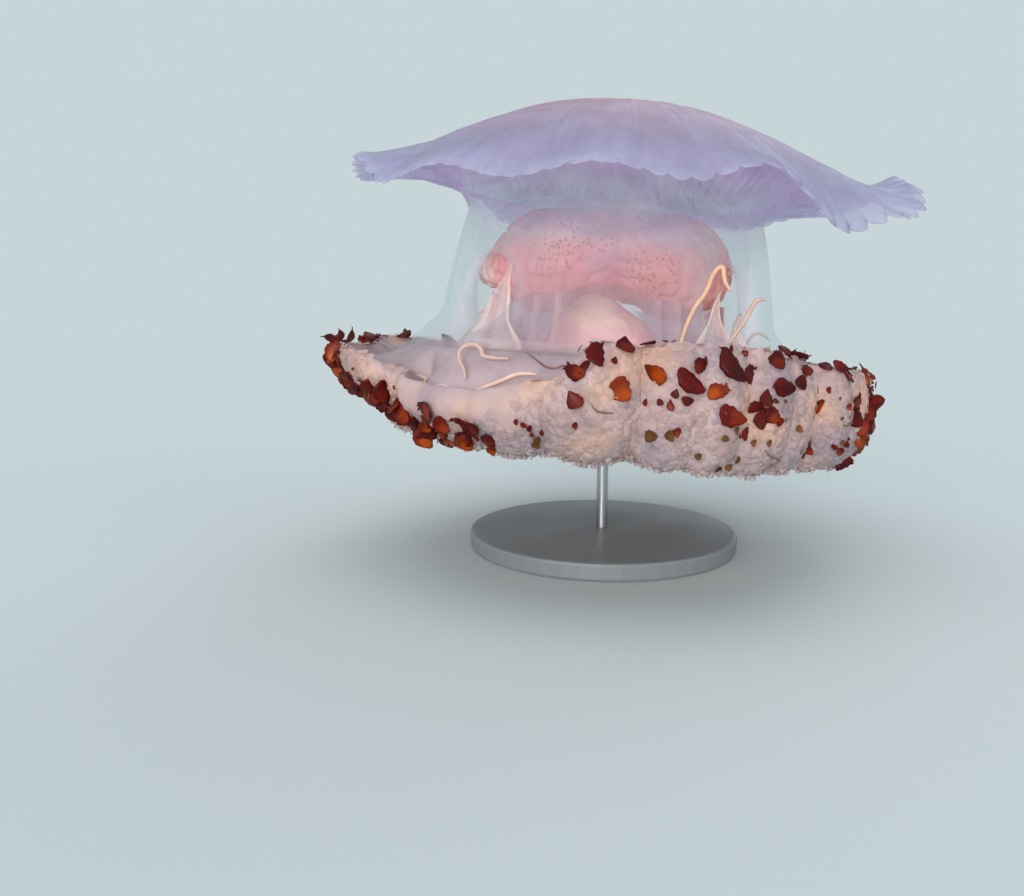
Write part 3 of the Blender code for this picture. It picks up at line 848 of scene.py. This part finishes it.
def coatSpots(rng, low, high, first, last, spacing):  # places spread evenly over the arms' face
    faceLength = 0.160
    rows = max(int((last - first) * faceLength / spacing), 1)
    for row in range(rows):
        along = first + (last - first) * (row + 0.5) / rows
        r = float(np.interp(along, ArmFace.lengths, ArmFace.radii))
        count = int((high - low) * r / spacing)
        for i in range(count):
            azimuth = low + (high - low) * (i + rng.uniform(-0.5, 0.5)) / count
            yield azimuth, min(max(along + rng.uniform(-0.5, 0.5) * (last - first) / rows, first), last)


def fleshTone(rng, azimuth, along, point, color):
    shade = rng.uniform(0.97, 1.02)
    blend = mixed(mottled(color, point, 1.0), skin["mist"], skin["misty"] * trayShare(azimuth, along))
    # painted shade: the florets turn greyer and darker down toward the bottom of the face
    blend = mixed(blend, frills["low"], 0.6 * smooth(0.40, 0.56, along))
    return (*(min(c * shade, 1.0) for c in blend), color[3])


def buildFrills(name, low, high):
    rng = random.Random(11 + int(low * 10))
    units = [floretUnit(0.0, 4), floretUnit(1.3, 3), floretUnit(2.6, 5)]
    units += [crestUnit(phase) for phase in (0.0, 1.6, 3.2)]
    tufts = [[] for unit in units]
    florets, crests = frills["florets"], frills["crests"]
    for azimuth, along in coatSpots(rng, low, high, florets["from"], florets["to"], florets["spacing"]):
        if rng.random() < frills["bare"] * trayShare(azimuth, along):
            continue
        point, normal, down = armFrame(azimuth, along)
        grown = 0.35 + 0.65 * smooth(florets["from"], 0.34, along)
        wide = rng.uniform(florets["narrowest"], florets["widest"]) * 2
        height = rng.uniform(florets["lowest"], florets["highest"]) * grown
        heading = turned(normal, down, rng.uniform(-3.1, 3.1))
        lean = Matrix.Rotation(rng.uniform(-0.25, 0.25), 3, heading) @ normal
        tufts[rng.randrange(3)].append(tuftOf(
            tuftAxes(heading, lean, wide, wide * rng.uniform(0.7, 1.0), height), point, azimuth, along,
            fleshTone(rng, azimuth, along, point, frills["root"]),
            fleshTone(rng, azimuth, along, point, frills["floretTip"])))
    for azimuth, along in coatSpots(rng, low, high, crests["from"], crests["to"], crests["spacing"]):
        point, normal, down = armFrame(azimuth, along)
        length = rng.uniform(crests["shortest"], crests["longest"])
        height = rng.uniform(crests["lowest"], crests["highest"])
        heading = turned(normal, down, rng.uniform(-1.3, 1.3))
        lean = Matrix.Rotation(rng.uniform(-0.5, 0.5), 3, heading) @ normal
        tufts[3 + rng.randrange(3)].append(tuftOf(
            tuftAxes(heading, lean, height * 1.2, length, height), point - normal * 0.0005, azimuth, along,
            frills["root"], frills["crestTip"]))
    finishPiece(name, joinedMesh(name, units, tufts), frillFlesh, "arm_flesh")


for quarter in range(4):
    buildFrills(f"oralFrills{quarter + 1}", quarter * turn / 4, (quarter + 1) * turn / 4)


mouthlets = {
    "rows": ((0.535, 520, 0.0024), (0.560, 640, 0.0030), (0.585, 560, 0.0028)),
    "scattered": 500, "root": tone(206, 184, 184, 0.96), "tip": tone(222, 202, 200, 0.62),
}


def tongueUnit():  # a small flat tongue with a curled tip, one unit long
    bm = flatGrid(2, 3)
    for vert in bm.verts:
        share, side = vert.co.y + 0.5, vert.co.x * 2
        wide = 0.9 - 0.3 * share ** 2 + 0.12 * sin(share * 9)
        curl = 0.30 * share ** 2 - 0.1 * side * side
        vert.co = Vector((vert.co.x * wide, share - 0.12 * side * side * share, curl))
    bmesh.ops.solidify(bm, geom=bm.faces[:], thickness=0.09)
    bmesh.ops.recalc_face_normals(bm, faces=bm.faces)
    return unitOf(bm, lambda p: (0.5 + p.x, p.y), lambda p: min(max(p.y, 0.0), 1.0))


def buildMouthlets(name, low, high):
    rng = random.Random(5)
    spots = []
    for along, count, length in mouthlets["rows"]:
        for i in range(count):
            spots.append((turn * (i + rng.uniform(-0.4, 0.4)) / count, along + rng.uniform(-0.012, 0.012),
                          length))
    for i in range(mouthlets["scattered"]):
        spots.append((rng.uniform(0, turn), rng.uniform(0.6, 0.9), 0.0030))
    tufts = []
    for azimuth, along, length in spots:
        size, wide = length * rng.uniform(0.5, 1.35), rng.uniform(0.8, 1.7)
        sway, bend, roll = rng.uniform(-0.7, 0.7), rng.uniform(0.1, 0.9), rng.uniform(-0.8, 0.8)
        azimuth %= turn
        if not low <= azimuth < high:
            continue
        point, normal, down = armFrame(azimuth, along)
        heading = normal * 0.5 * bend + down * 0.2 - Vector((0, 0, 0.9)) + normal.cross(down) * sway
        tufts.append(tuftOf(tuftAxes(heading, normal, size * wide, size, size, roll), point - normal * 0.0006,
                            azimuth, along, mouthlets["root"], mouthlets["tip"]))
    finishPiece(name, joinedMesh(name, [tongueUnit()], [tufts]), frillFlesh, "arm_flesh")


buildMouthlets("mouthletsFront", pi, turn)
buildMouthlets("mouthletsBack", 0.0, pi)


leaves = {
    "tones": {"deep": tone(50, 2, 4), "maroon": tone(80, 3, 2), "rust": tone(96, 14, 3),
              "orange": tone(148, 58, 6), "olive": tone(92, 66, 30)},
    "thick": 0.07, "lift": 0.0022, "placedSplay": 0.05,
    # each placed leaf: azimuth, place down the arm's face, millimetres long, which way its round end
    # turns, tone, and for some how wide it is beside the rest
    "placed": (
        (267, 0.16, 5, 0, "maroon"), (266, 0.215, 12, 75, "maroon"), (269.5, 0.21, 13, 15, "maroon"),
        (267.5, 0.23, 8, -30, "maroon"), (272, 0.225, 4, 0, "maroon"), (274, 0.17, 12, 15, "maroon"),
        (278, 0.155, 10, 20, "deep"), (280.5, 0.155, 3.5, 0, "rust"), (281.7, 0.155, 4, 0, "maroon"),
        (279, 0.25, 14, 60, "orange"), (273.5, 0.30, 13, 35, "orange", 1.1), (266.5, 0.31, 10, 50, "maroon"),
        (284, 0.268, 17, 52, "maroon", 0.62), (285.7, 0.235, 10, -45, "maroon"), (282, 0.305, 5, 0, "deep"),
        (281.5, 0.335, 6, 20, "maroon"), (283.5, 0.32, 6, 85, "deep"), (278, 0.34, 4, 0, "rust"),
        (280, 0.33, 4, 60, "maroon"), (290.5, 0.225, 19, 35, "deep", 0.7), (293.5, 0.19, 6, -50, "maroon"),
        (294.5, 0.25, 10, -10, "deep"), (288.5, 0.30, 11, -60, "orange"), (290.5, 0.35, 15, 70, "rust", 1.1),
        (299, 0.20, 10, 0, "maroon"), (299.5, 0.27, 13, 80, "deep"), (298.3, 0.265, 8, 130, "maroon"),
        (297, 0.305, 9, 10, "deep"), (296.5, 0.36, 11, 0, "deep"), (295.3, 0.34, 8, -60, "maroon"),
        (298, 0.345, 9, 40, "deep"), (299.5, 0.36, 5, 90, "rust"), (302, 0.16, 9, 100, "deep"),
        (306.5, 0.145, 14, 130, "deep"), (309, 0.13, 13, 165, "maroon"), (311.5, 0.15, 10, 110, "rust"),
        (325.5, 0.165, 13, 125, "deep"), (321, 0.17, 9, 200, "maroon"), (307.5, 0.205, 9, 90, "maroon"),
        (305.5, 0.25, 8, 0, "deep"), (303, 0.18, 4, 0, "maroon"), (312, 0.26, 4, 0, "rust"),
        (318, 0.25, 4, 0, "rust"),
        (311, 0.315, 10, -60, "orange"), (319, 0.165, 9, -45, "maroon"), (325, 0.195, 13, -50, "deep"),
        (325.5, 0.285, 15, 80, "rust"), (330, 0.36, 15, -20, "rust"), (327, 0.34, 12, 40, "maroon"),
        (331, 0.42, 12, -60, "orange"), (331, 0.52, 12, -30, "deep"), (333, 0.31, 13, 30, "deep"),
        (336, 0.37, 13, 70, "maroon"), (322, 0.30, 4, 0, "rust"), (323, 0.46, 5, 0, "maroon"),
        (316, 0.46, 9, -90, "olive"), (317, 0.47, 6, 60, "rust"), (313, 0.50, 4, 0, "rust"),
        (294, 0.41, 7, 0, "rust"), (282, 0.42, 6, 30, "olive"), (279.5, 0.44, 7, -40, "olive"),
        (283, 0.41, 5, 0, "rust"), (266.8, 0.40, 4, 0, "rust"), (260, 0.46, 5, 0, "olive"),
        (296, 0.43, 4, 0, "olive"), (298, 0.42, 4, 0, "olive"), (287.5, 0.48, 4, 0, "olive"),
        (294, 0.49, 5, 40, "olive"),
        (205, 0.33, 18, 10, "deep"), (203, 0.27, 13, -20, "deep"), (208, 0.38, 12, 20, "deep"),
        (211, 0.41, 14, 60, "maroon"), (213, 0.46, 7, 0, "orange"), (208, 0.45, 9, 0, "olive"),
        (218, 0.42, 12, 20, "maroon"), (229, 0.40, 14, 50, "maroon"), (226, 0.43, 13, -10, "deep"),
        (224, 0.52, 12, 0, "olive"), (240, 0.285, 13, 75, "maroon", 1.2), (243, 0.37, 11, 30, "rust"),
        (235.5, 0.45, 9, 0, "orange"), (237, 0.50, 10, 20, "deep"), (238.5, 0.55, 12, 0, "deep"),
        (246.7, 0.39, 15, 30, "maroon"), (245.5, 0.50, 13, -10, "orange"), (248.5, 0.47, 5, 0, "rust"),
        (251.5, 0.465, 10, 0, "maroon"), (251.5, 0.515, 8, 0, "orange"), (257, 0.35, 3.5, 0, "maroon"),
        (258, 0.37, 4, 40, "rust"), (259, 0.39, 4, 0, "maroon"), (259.2, 0.42, 3, 0, "rust"),
        (261, 0.42, 4, 0, "rust"), (259.5, 0.48, 5, 30, "olive")),
    "star": ((196, 0.17, 15, -125), (199, 0.18, 16, -85), (202, 0.165, 13, -160), (204, 0.21, 12, -60)),
    # the rest, in bands: azimuths, places down the face, how many, shortest, longest, how far they splay out
    "bands": (
        (204, 233, 0.30, 0.52, 22, 9, 16, 0.20), (228, 250, 0.38, 0.55, 13, 8, 13, 0.10),
        (333, 345, 0.14, 0.46, 16, 9, 14, 0.10), (345, 368, 0.13, 0.50, 34, 9, 15, 0.20),
        (8, 62, 0.12, 0.42, 46, 7, 16, 0.15), (62, 140, 0.12, 0.42, 60, 7, 16, 0.12),
        (140, 172, 0.12, 0.36, 30, 8, 16, 0.25), (172, 204, 0.16, 0.46, 44, 8, 16, 0.25)),
    "turnedOut": ((190, 236), (318, 350)),  # where the leaves stand away from the flesh and face forward
    "specks": ((286, 344, 0.22, 0.52, 26), (344, 376, 0.12, 0.56, 36), (16, 200, 0.15, 0.52, 130),
               (200, 236, 0.20, 0.50, 10)),
    "thornsFrom": 0.009, "thornChance": 0.7,  # leaves this long may have small points round the stalk
}


def leafUnit(stalk, fullness, jagged, fine=False):  # a fleshy leaf, narrow at its stalk, one unit long
    bm = flatGrid(6, 13) if fine else flatGrid(3, 7)
    for vert in bm.verts:
        share, side = vert.co.y + 0.5, vert.co.x * 2
        wide = stalk + 0.72 * sin(pi * min(share, 0.995) ** fullness) ** 0.75
        wide = max(wide, 0.03) * (1.0 + jagged * sin(share * 21 + side))
        bend = 0.16 * sin(share * 3)
        dish = 0.05 * share * share - 0.06 * side * side * wide
        vert.co = Vector((vert.co.x * wide + bend, share - 0.5, dish))
    bmesh.ops.solidify(bm, geom=bm.faces[:], thickness=leaves["thick"])
    bmesh.ops.recalc_face_normals(bm, faces=bm.faces)

    def heart(p):  # how far a point is inside the leaf's rim
        return smooth(0.40, 0.12, abs(p.x - 0.1)) * smooth(-0.22, 0.12, p.y) * smooth(0.54, 0.38, p.y)

    return unitOf(bm, lambda p: (0.5 + p.x, 0.5 + p.y), heart)


def leafTuft(rng, azimuth, along, size, angle, splay, name, slim=1.0):
    point, normal, down = armFrame(azimuth, along)
    loose = any(a <= degrees(azimuth) % 360 <= b for a, b in leaves["turnedOut"])
    facing = (normal + Vector((0.0, -2.2, 0.2)) * loose).normalized()
    heart = mixed(leaves["tones"][name], leaves["tones"]["orange"], rng.choice((0.0, 0.0, 0.15, 0.4)))
    rim = mixed(leaves["tones"]["maroon"], leaves["tones"]["deep"], rng.uniform(0, 0.8))
    rim = mixed(rim, leaves["tones"][name], {"orange": 0.3, "rust": 0.5, "olive": 0.6}.get(name, 0.0))
    heading = (turned(normal, down, angle) + normal * splay).normalized()
    wide = size * rng.uniform(0.75, 1.1) * slim
    root = point + normal * leaves["lift"] * rng.uniform(0.7, 1.4)
    root += heading * size * 0.5 * min(abs(splay), 1.0)
    axes = tuftAxes(heading, facing, wide, size, size, rng.gauss(0, 0.25))
    return tuftOf(axes, root, azimuth, along, rim, heart)


def buildLeaves():
    rng = random.Random(23)
    shapes = ((0.08, 1.35, 0.05), (0.16, 0.95, 0.06), (0.10, 0.8, 0.09))
    units = [leafUnit(*shape) for shape in shapes] + [leafUnit(-0.36, 1.0, 0)]
    units += [leafUnit(*shape, fine=True) for shape in shapes]
    tufts = [[] for unit in units]
    leavesToMake = [(*placed[:4], leaves["placedSplay"], *placed[4:]) for placed in leaves["placed"]]
    for first, last, high, low, count, short, long, splay in leaves["bands"]:
        for i in range(count):
            a = first + (last - first) * (i + rng.uniform(0, 1)) / count
            name = rng.choice(("deep", "maroon", "maroon", "rust", "orange"))
            leavesToMake.append((a, rng.uniform(high, low), rng.uniform(short, long), rng.gauss(0, 50),
                                 splay * rng.uniform(0.2, 1.6), name))
    for first, last, high, low, count in leaves["specks"]:
        for i in range(count):
            name = rng.choice(("deep", "maroon", "rust", "olive", "olive"))
            leavesToMake.append((rng.uniform(first, last), rng.uniform(high, low), rng.uniform(2.0, 4.6),
                                 rng.uniform(-90, 90), 0.2, name))
    for a, along, size, angle, splay, name, *slim in leavesToMake:
        azimuth, size, angle = radians(a), size / 1000, radians(angle)
        leaf = leafTuft(rng, azimuth, along, size, angle, splay, name, *slim)
        tufts[rng.randrange(3) + (4 if splay == leaves["placedSplay"] else 0)].append(leaf)
        if size > leaves["thornsFrom"] and rng.random() < leaves["thornChance"]:
            for side in rng.sample((-0.9, -0.3, 0.4, 1.0), 2):
                small = size * rng.uniform(0.3, 0.45)
                thorn = leafTuft(rng, azimuth, along, small, angle + side + pi, splay, name)
                across, lengthwise = Vector(leaf["axes"][0]), Vector(leaf["axes"][1])
                thorn["root"] = leaf["root"] - lengthwise * 0.42 + across * side * 0.2
                thorn["rootTint"] = thorn["tipTint"] = leaf["rootTint"]
                tufts[3].append(thorn)
    for a, along, size, angle in leaves["star"]:
        tufts[3].append(leafTuft(rng, radians(a), along, size / 1000, radians(angle), 0.7, "deep"))
    mesh = joinedMesh("leafAppendages", units, tufts)
    look = dict(coatLook, milk=0.06, through=0.08, wet=0.06, roughness=0.6, blotch=0.25, blotchScale=220,
                specular=0.2)
    finishPiece("leafAppendages", mesh, fleshMaterial("leafFlesh", look), None)


buildLeaves()


# The filaments, and the threads and folds on the arms

filaments = {
    "rootRadius": 0.0008, "fullRadius": 0.0013, "tipRadius": 0.0006,
    "tint": tone(234, 186, 154, 0.97), "paleTint": tone(214, 184, 172, 0.90),
    "pale": ("filament_leaning", "filament_curled", "filament_back_right"),
    "paths": {  # azimuth and radius of the root, then steps right, back and up in millimetres
        "filament_hooked": ((287, 0.140), (
            (1, 0, 14), (6, 2, 29), (12, 6, 37), (15, 8, 49), (20, 8, 53), (21, 8, 43), (25, 6, 39))),
        "filament_leaning": ((298, 0.142), ((1, 0, 12), (8, 4, 22), (12, 7, 31), (15, 8, 37), (20, 8, 37))),
        "filament_curled": ((241, 0.150), (
            (-5, 3, 6), (-5, 5, 13), (3, 4, 16), (8, 1, 13), (9, -2, 8), (24, -6, 9))),
        "filament_back_left": ((128, 0.142), ((-4, 1, 18), (-8, 4, 30), (-15, 5, 36), (-20, 2, 30))),
        "filament_back": ((84, 0.142), ((3, 0, 18), (8, 3, 30), (6, 5, 42), (-2, 5, 47))),
        "filament_back_right": ((38, 0.142), ((2, 4, 18), (6, 8, 28), (14, 10, 32), (20, 7, 26))),
    },
    "look": dict(coatLook, blotchScale=400, milk=0.4, through=0.3, wet=0.3),
}


def threadMesh(name, path, radii):
    curve = bpy.data.curves.new(name, "CURVE")
    curve.dimensions = "3D"
    curve.bevel_depth = 1.0
    curve.bevel_resolution = 3
    curve.use_fill_caps = True
    spline = curve.splines.new("NURBS")
    spline.points.add(len(path) - 1)
    for point, place, radius in zip(spline.points, path, radii):
        point.co = (*place, 1.0)
        point.radius = radius
    spline.use_endpoint_u = True
    spline.order_u = 3
    spline.resolution_u = 10
    holder = newObject(name, curve)
    bpy.context.view_layer.update()
    mesh = bpy.data.meshes.new_from_object(holder.evaluated_get(bpy.context.evaluated_depsgraph_get()))
    mesh.name = name
    bpy.data.objects.remove(holder)
    bpy.data.curves.remove(curve)
    return mesh


def buildFilament(node, root, steps):
    start = polar(root[1], radians(root[0]), -0.032)
    path = [start] + [start + Vector(step) / 1000 for step in steps]
    upright = swimming.inverted()
    low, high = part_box(node)
    posed = [swimming @ p for p in path]
    middle = Vector([(min(p[i] for p in posed) + max(p[i] for p in posed)) / 2 for i in range(3)])
    shift = upright.to_3x3() @ ((low + high) / 2 - middle)
    path = [p + shift for p in path]
    path.insert(0, path[0] - Vector((0, 0, 0.004)))
    last, thin, full = len(path) - 1, filaments["rootRadius"], filaments["fullRadius"]
    radii = [thin + (full - thin) * smooth(0, 0.6, i / last) for i in range(last)] + [filaments["tipRadius"]]
    mesh = threadMesh("thread_" + node, path, radii)
    paint(mesh, [filaments["paleTint" if node in filaments["pale"] else "tint"]] * len(mesh.vertices))
    finishPiece("thread_" + node, mesh, threadFlesh, "filament", node)


threadFlesh = fleshMaterial("threadFlesh", filaments["look"])
for node, (root, steps) in filaments["paths"].items():
    buildFilament(node, root, steps)


strays = {
    "radius": 0.00055, "tint": tone(128, 98, 84, 0.95),
    "foldRadius": 0.0011, "foldTint": tone(238, 204, 186, 0.92),
    # each point's azimuth, place down the arms' face and height over the flesh in millimetres
    "threads": (
        ((256, 0.00, 18), (257.5, 0.00, 12), (259, 0.00, 5.5), (261.5, 0.00, 5), (263.3, 0.00, 6),
         (265, 0.03, 4.5), (265, 0.06, 0)),
        ((298, 0.445, 1), (298.7, 0.46, 2), (301.5, 0.475, 2), (302.3, 0.49, 2), (300.5, 0.515, 1)),
        ((269, 0.345, 0.8), (269.5, 0.365, 1.4), (271, 0.37, 1.4), (272.5, 0.37, 0.8)),
        ((320, 0.36, 1), (322, 0.37, 2), (324, 0.355, 2), (326, 0.365, 1)),
        ((94, 0.30, 1), (95.5, 0.32, 2), (94, 0.35, 2), (95.5, 0.38, 1)),
        ((30, 0.24, 1), (28.5, 0.26, 2), (30, 0.29, 2), (28.5, 0.32, 1))),
    "folds": (
        ((233, 0.050, 0.2), (235.5, 0.045, 1.0), (238, 0.040, 1.2), (240.5, 0.035, 1.1), (242, 0.030, 0.2)),
        ((244.5, 0.030, 0.2), (247, 0.020, 1.2), (250, 0.010, 1.6), (252.5, 0.000, 2.2), (255, 0.000, 3.2),
         (257, 0.000, 1.6)),
        ((249, 0.060, 0.2), (252, 0.050, 1.0), (255, 0.055, 1.0), (258, 0.040, 0.9), (260, 0.030, 0.2)),
        ((222, 0.060, 0.2), (225, 0.050, 1.0), (228, 0.055, 1.0), (230, 0.050, 0.2)),
        ((262, 0.020, 0.2), (264, 0.035, 0.9), (266, 0.030, 0.9), (268, 0.045, 0.2)),
        ((60, 0.050, 0.2), (63, 0.055, 1.0), (66, 0.050, 1.0), (69, 0.060, 0.2)),
        ((150, 0.050, 0.2), (153, 0.040, 1.0), (156, 0.050, 1.0), (159, 0.045, 0.2))),
}


def buildStrays(name, threads, radius, tint):  # thin threads and raised folds that lie on the arms' flesh
    bm = bmesh.new()
    for spots in threads:
        path = []
        for azimuth, along, lift in spots:
            point, normal, down = armFrame(radians(azimuth), along)
            path.append(point + normal * lift / 1000)
        radii = [radius * (0.5 if i in (0, len(path) - 1) else 1.0) for i in range(len(path))]
        mesh = threadMesh(name, path, radii)
        bm.from_mesh(mesh)
        bpy.data.meshes.remove(mesh)
    mesh = meshOf(bm, name)
    paint(mesh, [tint] * len(mesh.vertices))
    finishPiece(name, mesh, threadFlesh, "filament")


buildStrays("strayThreads", strays["threads"], strays["radius"], strays["tint"])
buildStrays("trayFolds", strays["folds"], strays["foldRadius"], strays["foldTint"])


# The display stand: its solids keep their shape and get their finish

stand = {"paint": (0.16, 0.17, 0.18, 1.0), "steel": tone(176, 178, 180)}


def standMaterials():
    painted, tree = blankMaterial("standPaint")
    coords = addNode(tree, "TexCoord").outputs["Object"]
    peel = addNode(tree, "TexNoise", Vector=coords, Scale=900, Detail=2)
    bump = addNode(tree, "Bump", Strength=0.12, Distance=0.0002, Height=peel.outputs["Fac"])
    shade = scaledNoise(tree, coords, 30, 0.42, 0.52)
    body = addNode(tree, "BsdfPrincipled", Base_Color=stand["paint"], Roughness=shade,
                   Normal=bump.outputs["Normal"])
    finishShader(tree, body)
    steel, tree = blankMaterial("rodSteel")
    coords = addNode(tree, "TexCoord").outputs["Object"]
    stretch = addNode(tree, "Mapping", Vector=coords, Scale=(1, 1, 0.02))
    brushed = scaledNoise(tree, stretch.outputs["Vector"], 2500, 0.24, 0.38)
    body = addNode(tree, "BsdfPrincipled", Base_Color=stand["steel"], Roughness=brushed,
                   Metallic=1.0)
    finishShader(tree, body)
    for node, material in (("stand_base", painted), ("stand_rod", steel)):
        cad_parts[node].data.materials.clear()
        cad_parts[node].data.materials.append(material)


standMaterials()
print("stand finished")


# Floor, light and camera

studio = {
    "floorRadius": 8.0, "floor": tone(188, 194, 195), "world": tone(200, 213, 216), "worldStrength": 1.0,
    "suns": (  # name, where it shines from, softness in degrees, strength, colour
        ("keySun", (-0.40, -1.0, 0.28), 50, 1.15, (1.0, 0.98, 0.95)),
        ("frontSun", (-0.10, -1.0, 0.12), 24, 2.6, (1.0, 0.95, 0.92)),
        ("topSun", (-0.1, -0.1, 1.0), 50, 0.75, (0.96, 0.98, 1.0)),
        ("sideSun", (1.1, -0.5, 0.34), 40, 0.4, (0.94, 0.97, 1.0)),
        ("backSun", (0.45, 1.0, 0.7), 40, 0.6, (0.92, 0.97, 1.0))),
    "camera": (0.0, -0.60, 0.16), "tilt": -8.6, "pan": 6.22, "lens": 29.67,
}


def buildStage():
    bm = bmesh.new()
    bmesh.ops.create_circle(bm, cap_ends=True, segments=96, radius=studio["floorRadius"])
    floor = newObject("floor", meshOf(bm, "floor"))
    material, tree = blankMaterial("floorPaper")
    body = addNode(tree, "BsdfDiffuse", Color=studio["floor"])
    finishShader(tree, body)
    floor.data.materials.append(material)
    for name, place, softness, strength, color in studio["suns"]:
        light = bpy.data.lights.new(name, "SUN")
        light.angle, light.energy, light.color = radians(softness), strength, color
        newObject(name, light).rotation_euler = (-Vector(place)).to_track_quat("-Z", "Y").to_euler()
    world = bpy.data.worlds.new("studioWorld")
    world.use_nodes = True
    background = world.node_tree.nodes["Background"].inputs
    background["Color"].default_value = studio["world"]
    background["Strength"].default_value = studio["worldStrength"]
    scene.world = world
    camera = newObject("camera", bpy.data.cameras.new("camera"))
    camera.location = studio["camera"]
    camera.rotation_euler = (radians(90 + studio["tilt"]), 0, radians(studio["pan"]))
    camera.data.lens = studio["lens"]
    camera.data.clip_start = 0.01
    scene.camera = camera
    scene.view_settings.view_transform = "Standard"
    scene.cycles.transparent_max_bounces = 32


buildStage()
print("stage set")

bpy.context.view_layer.update()
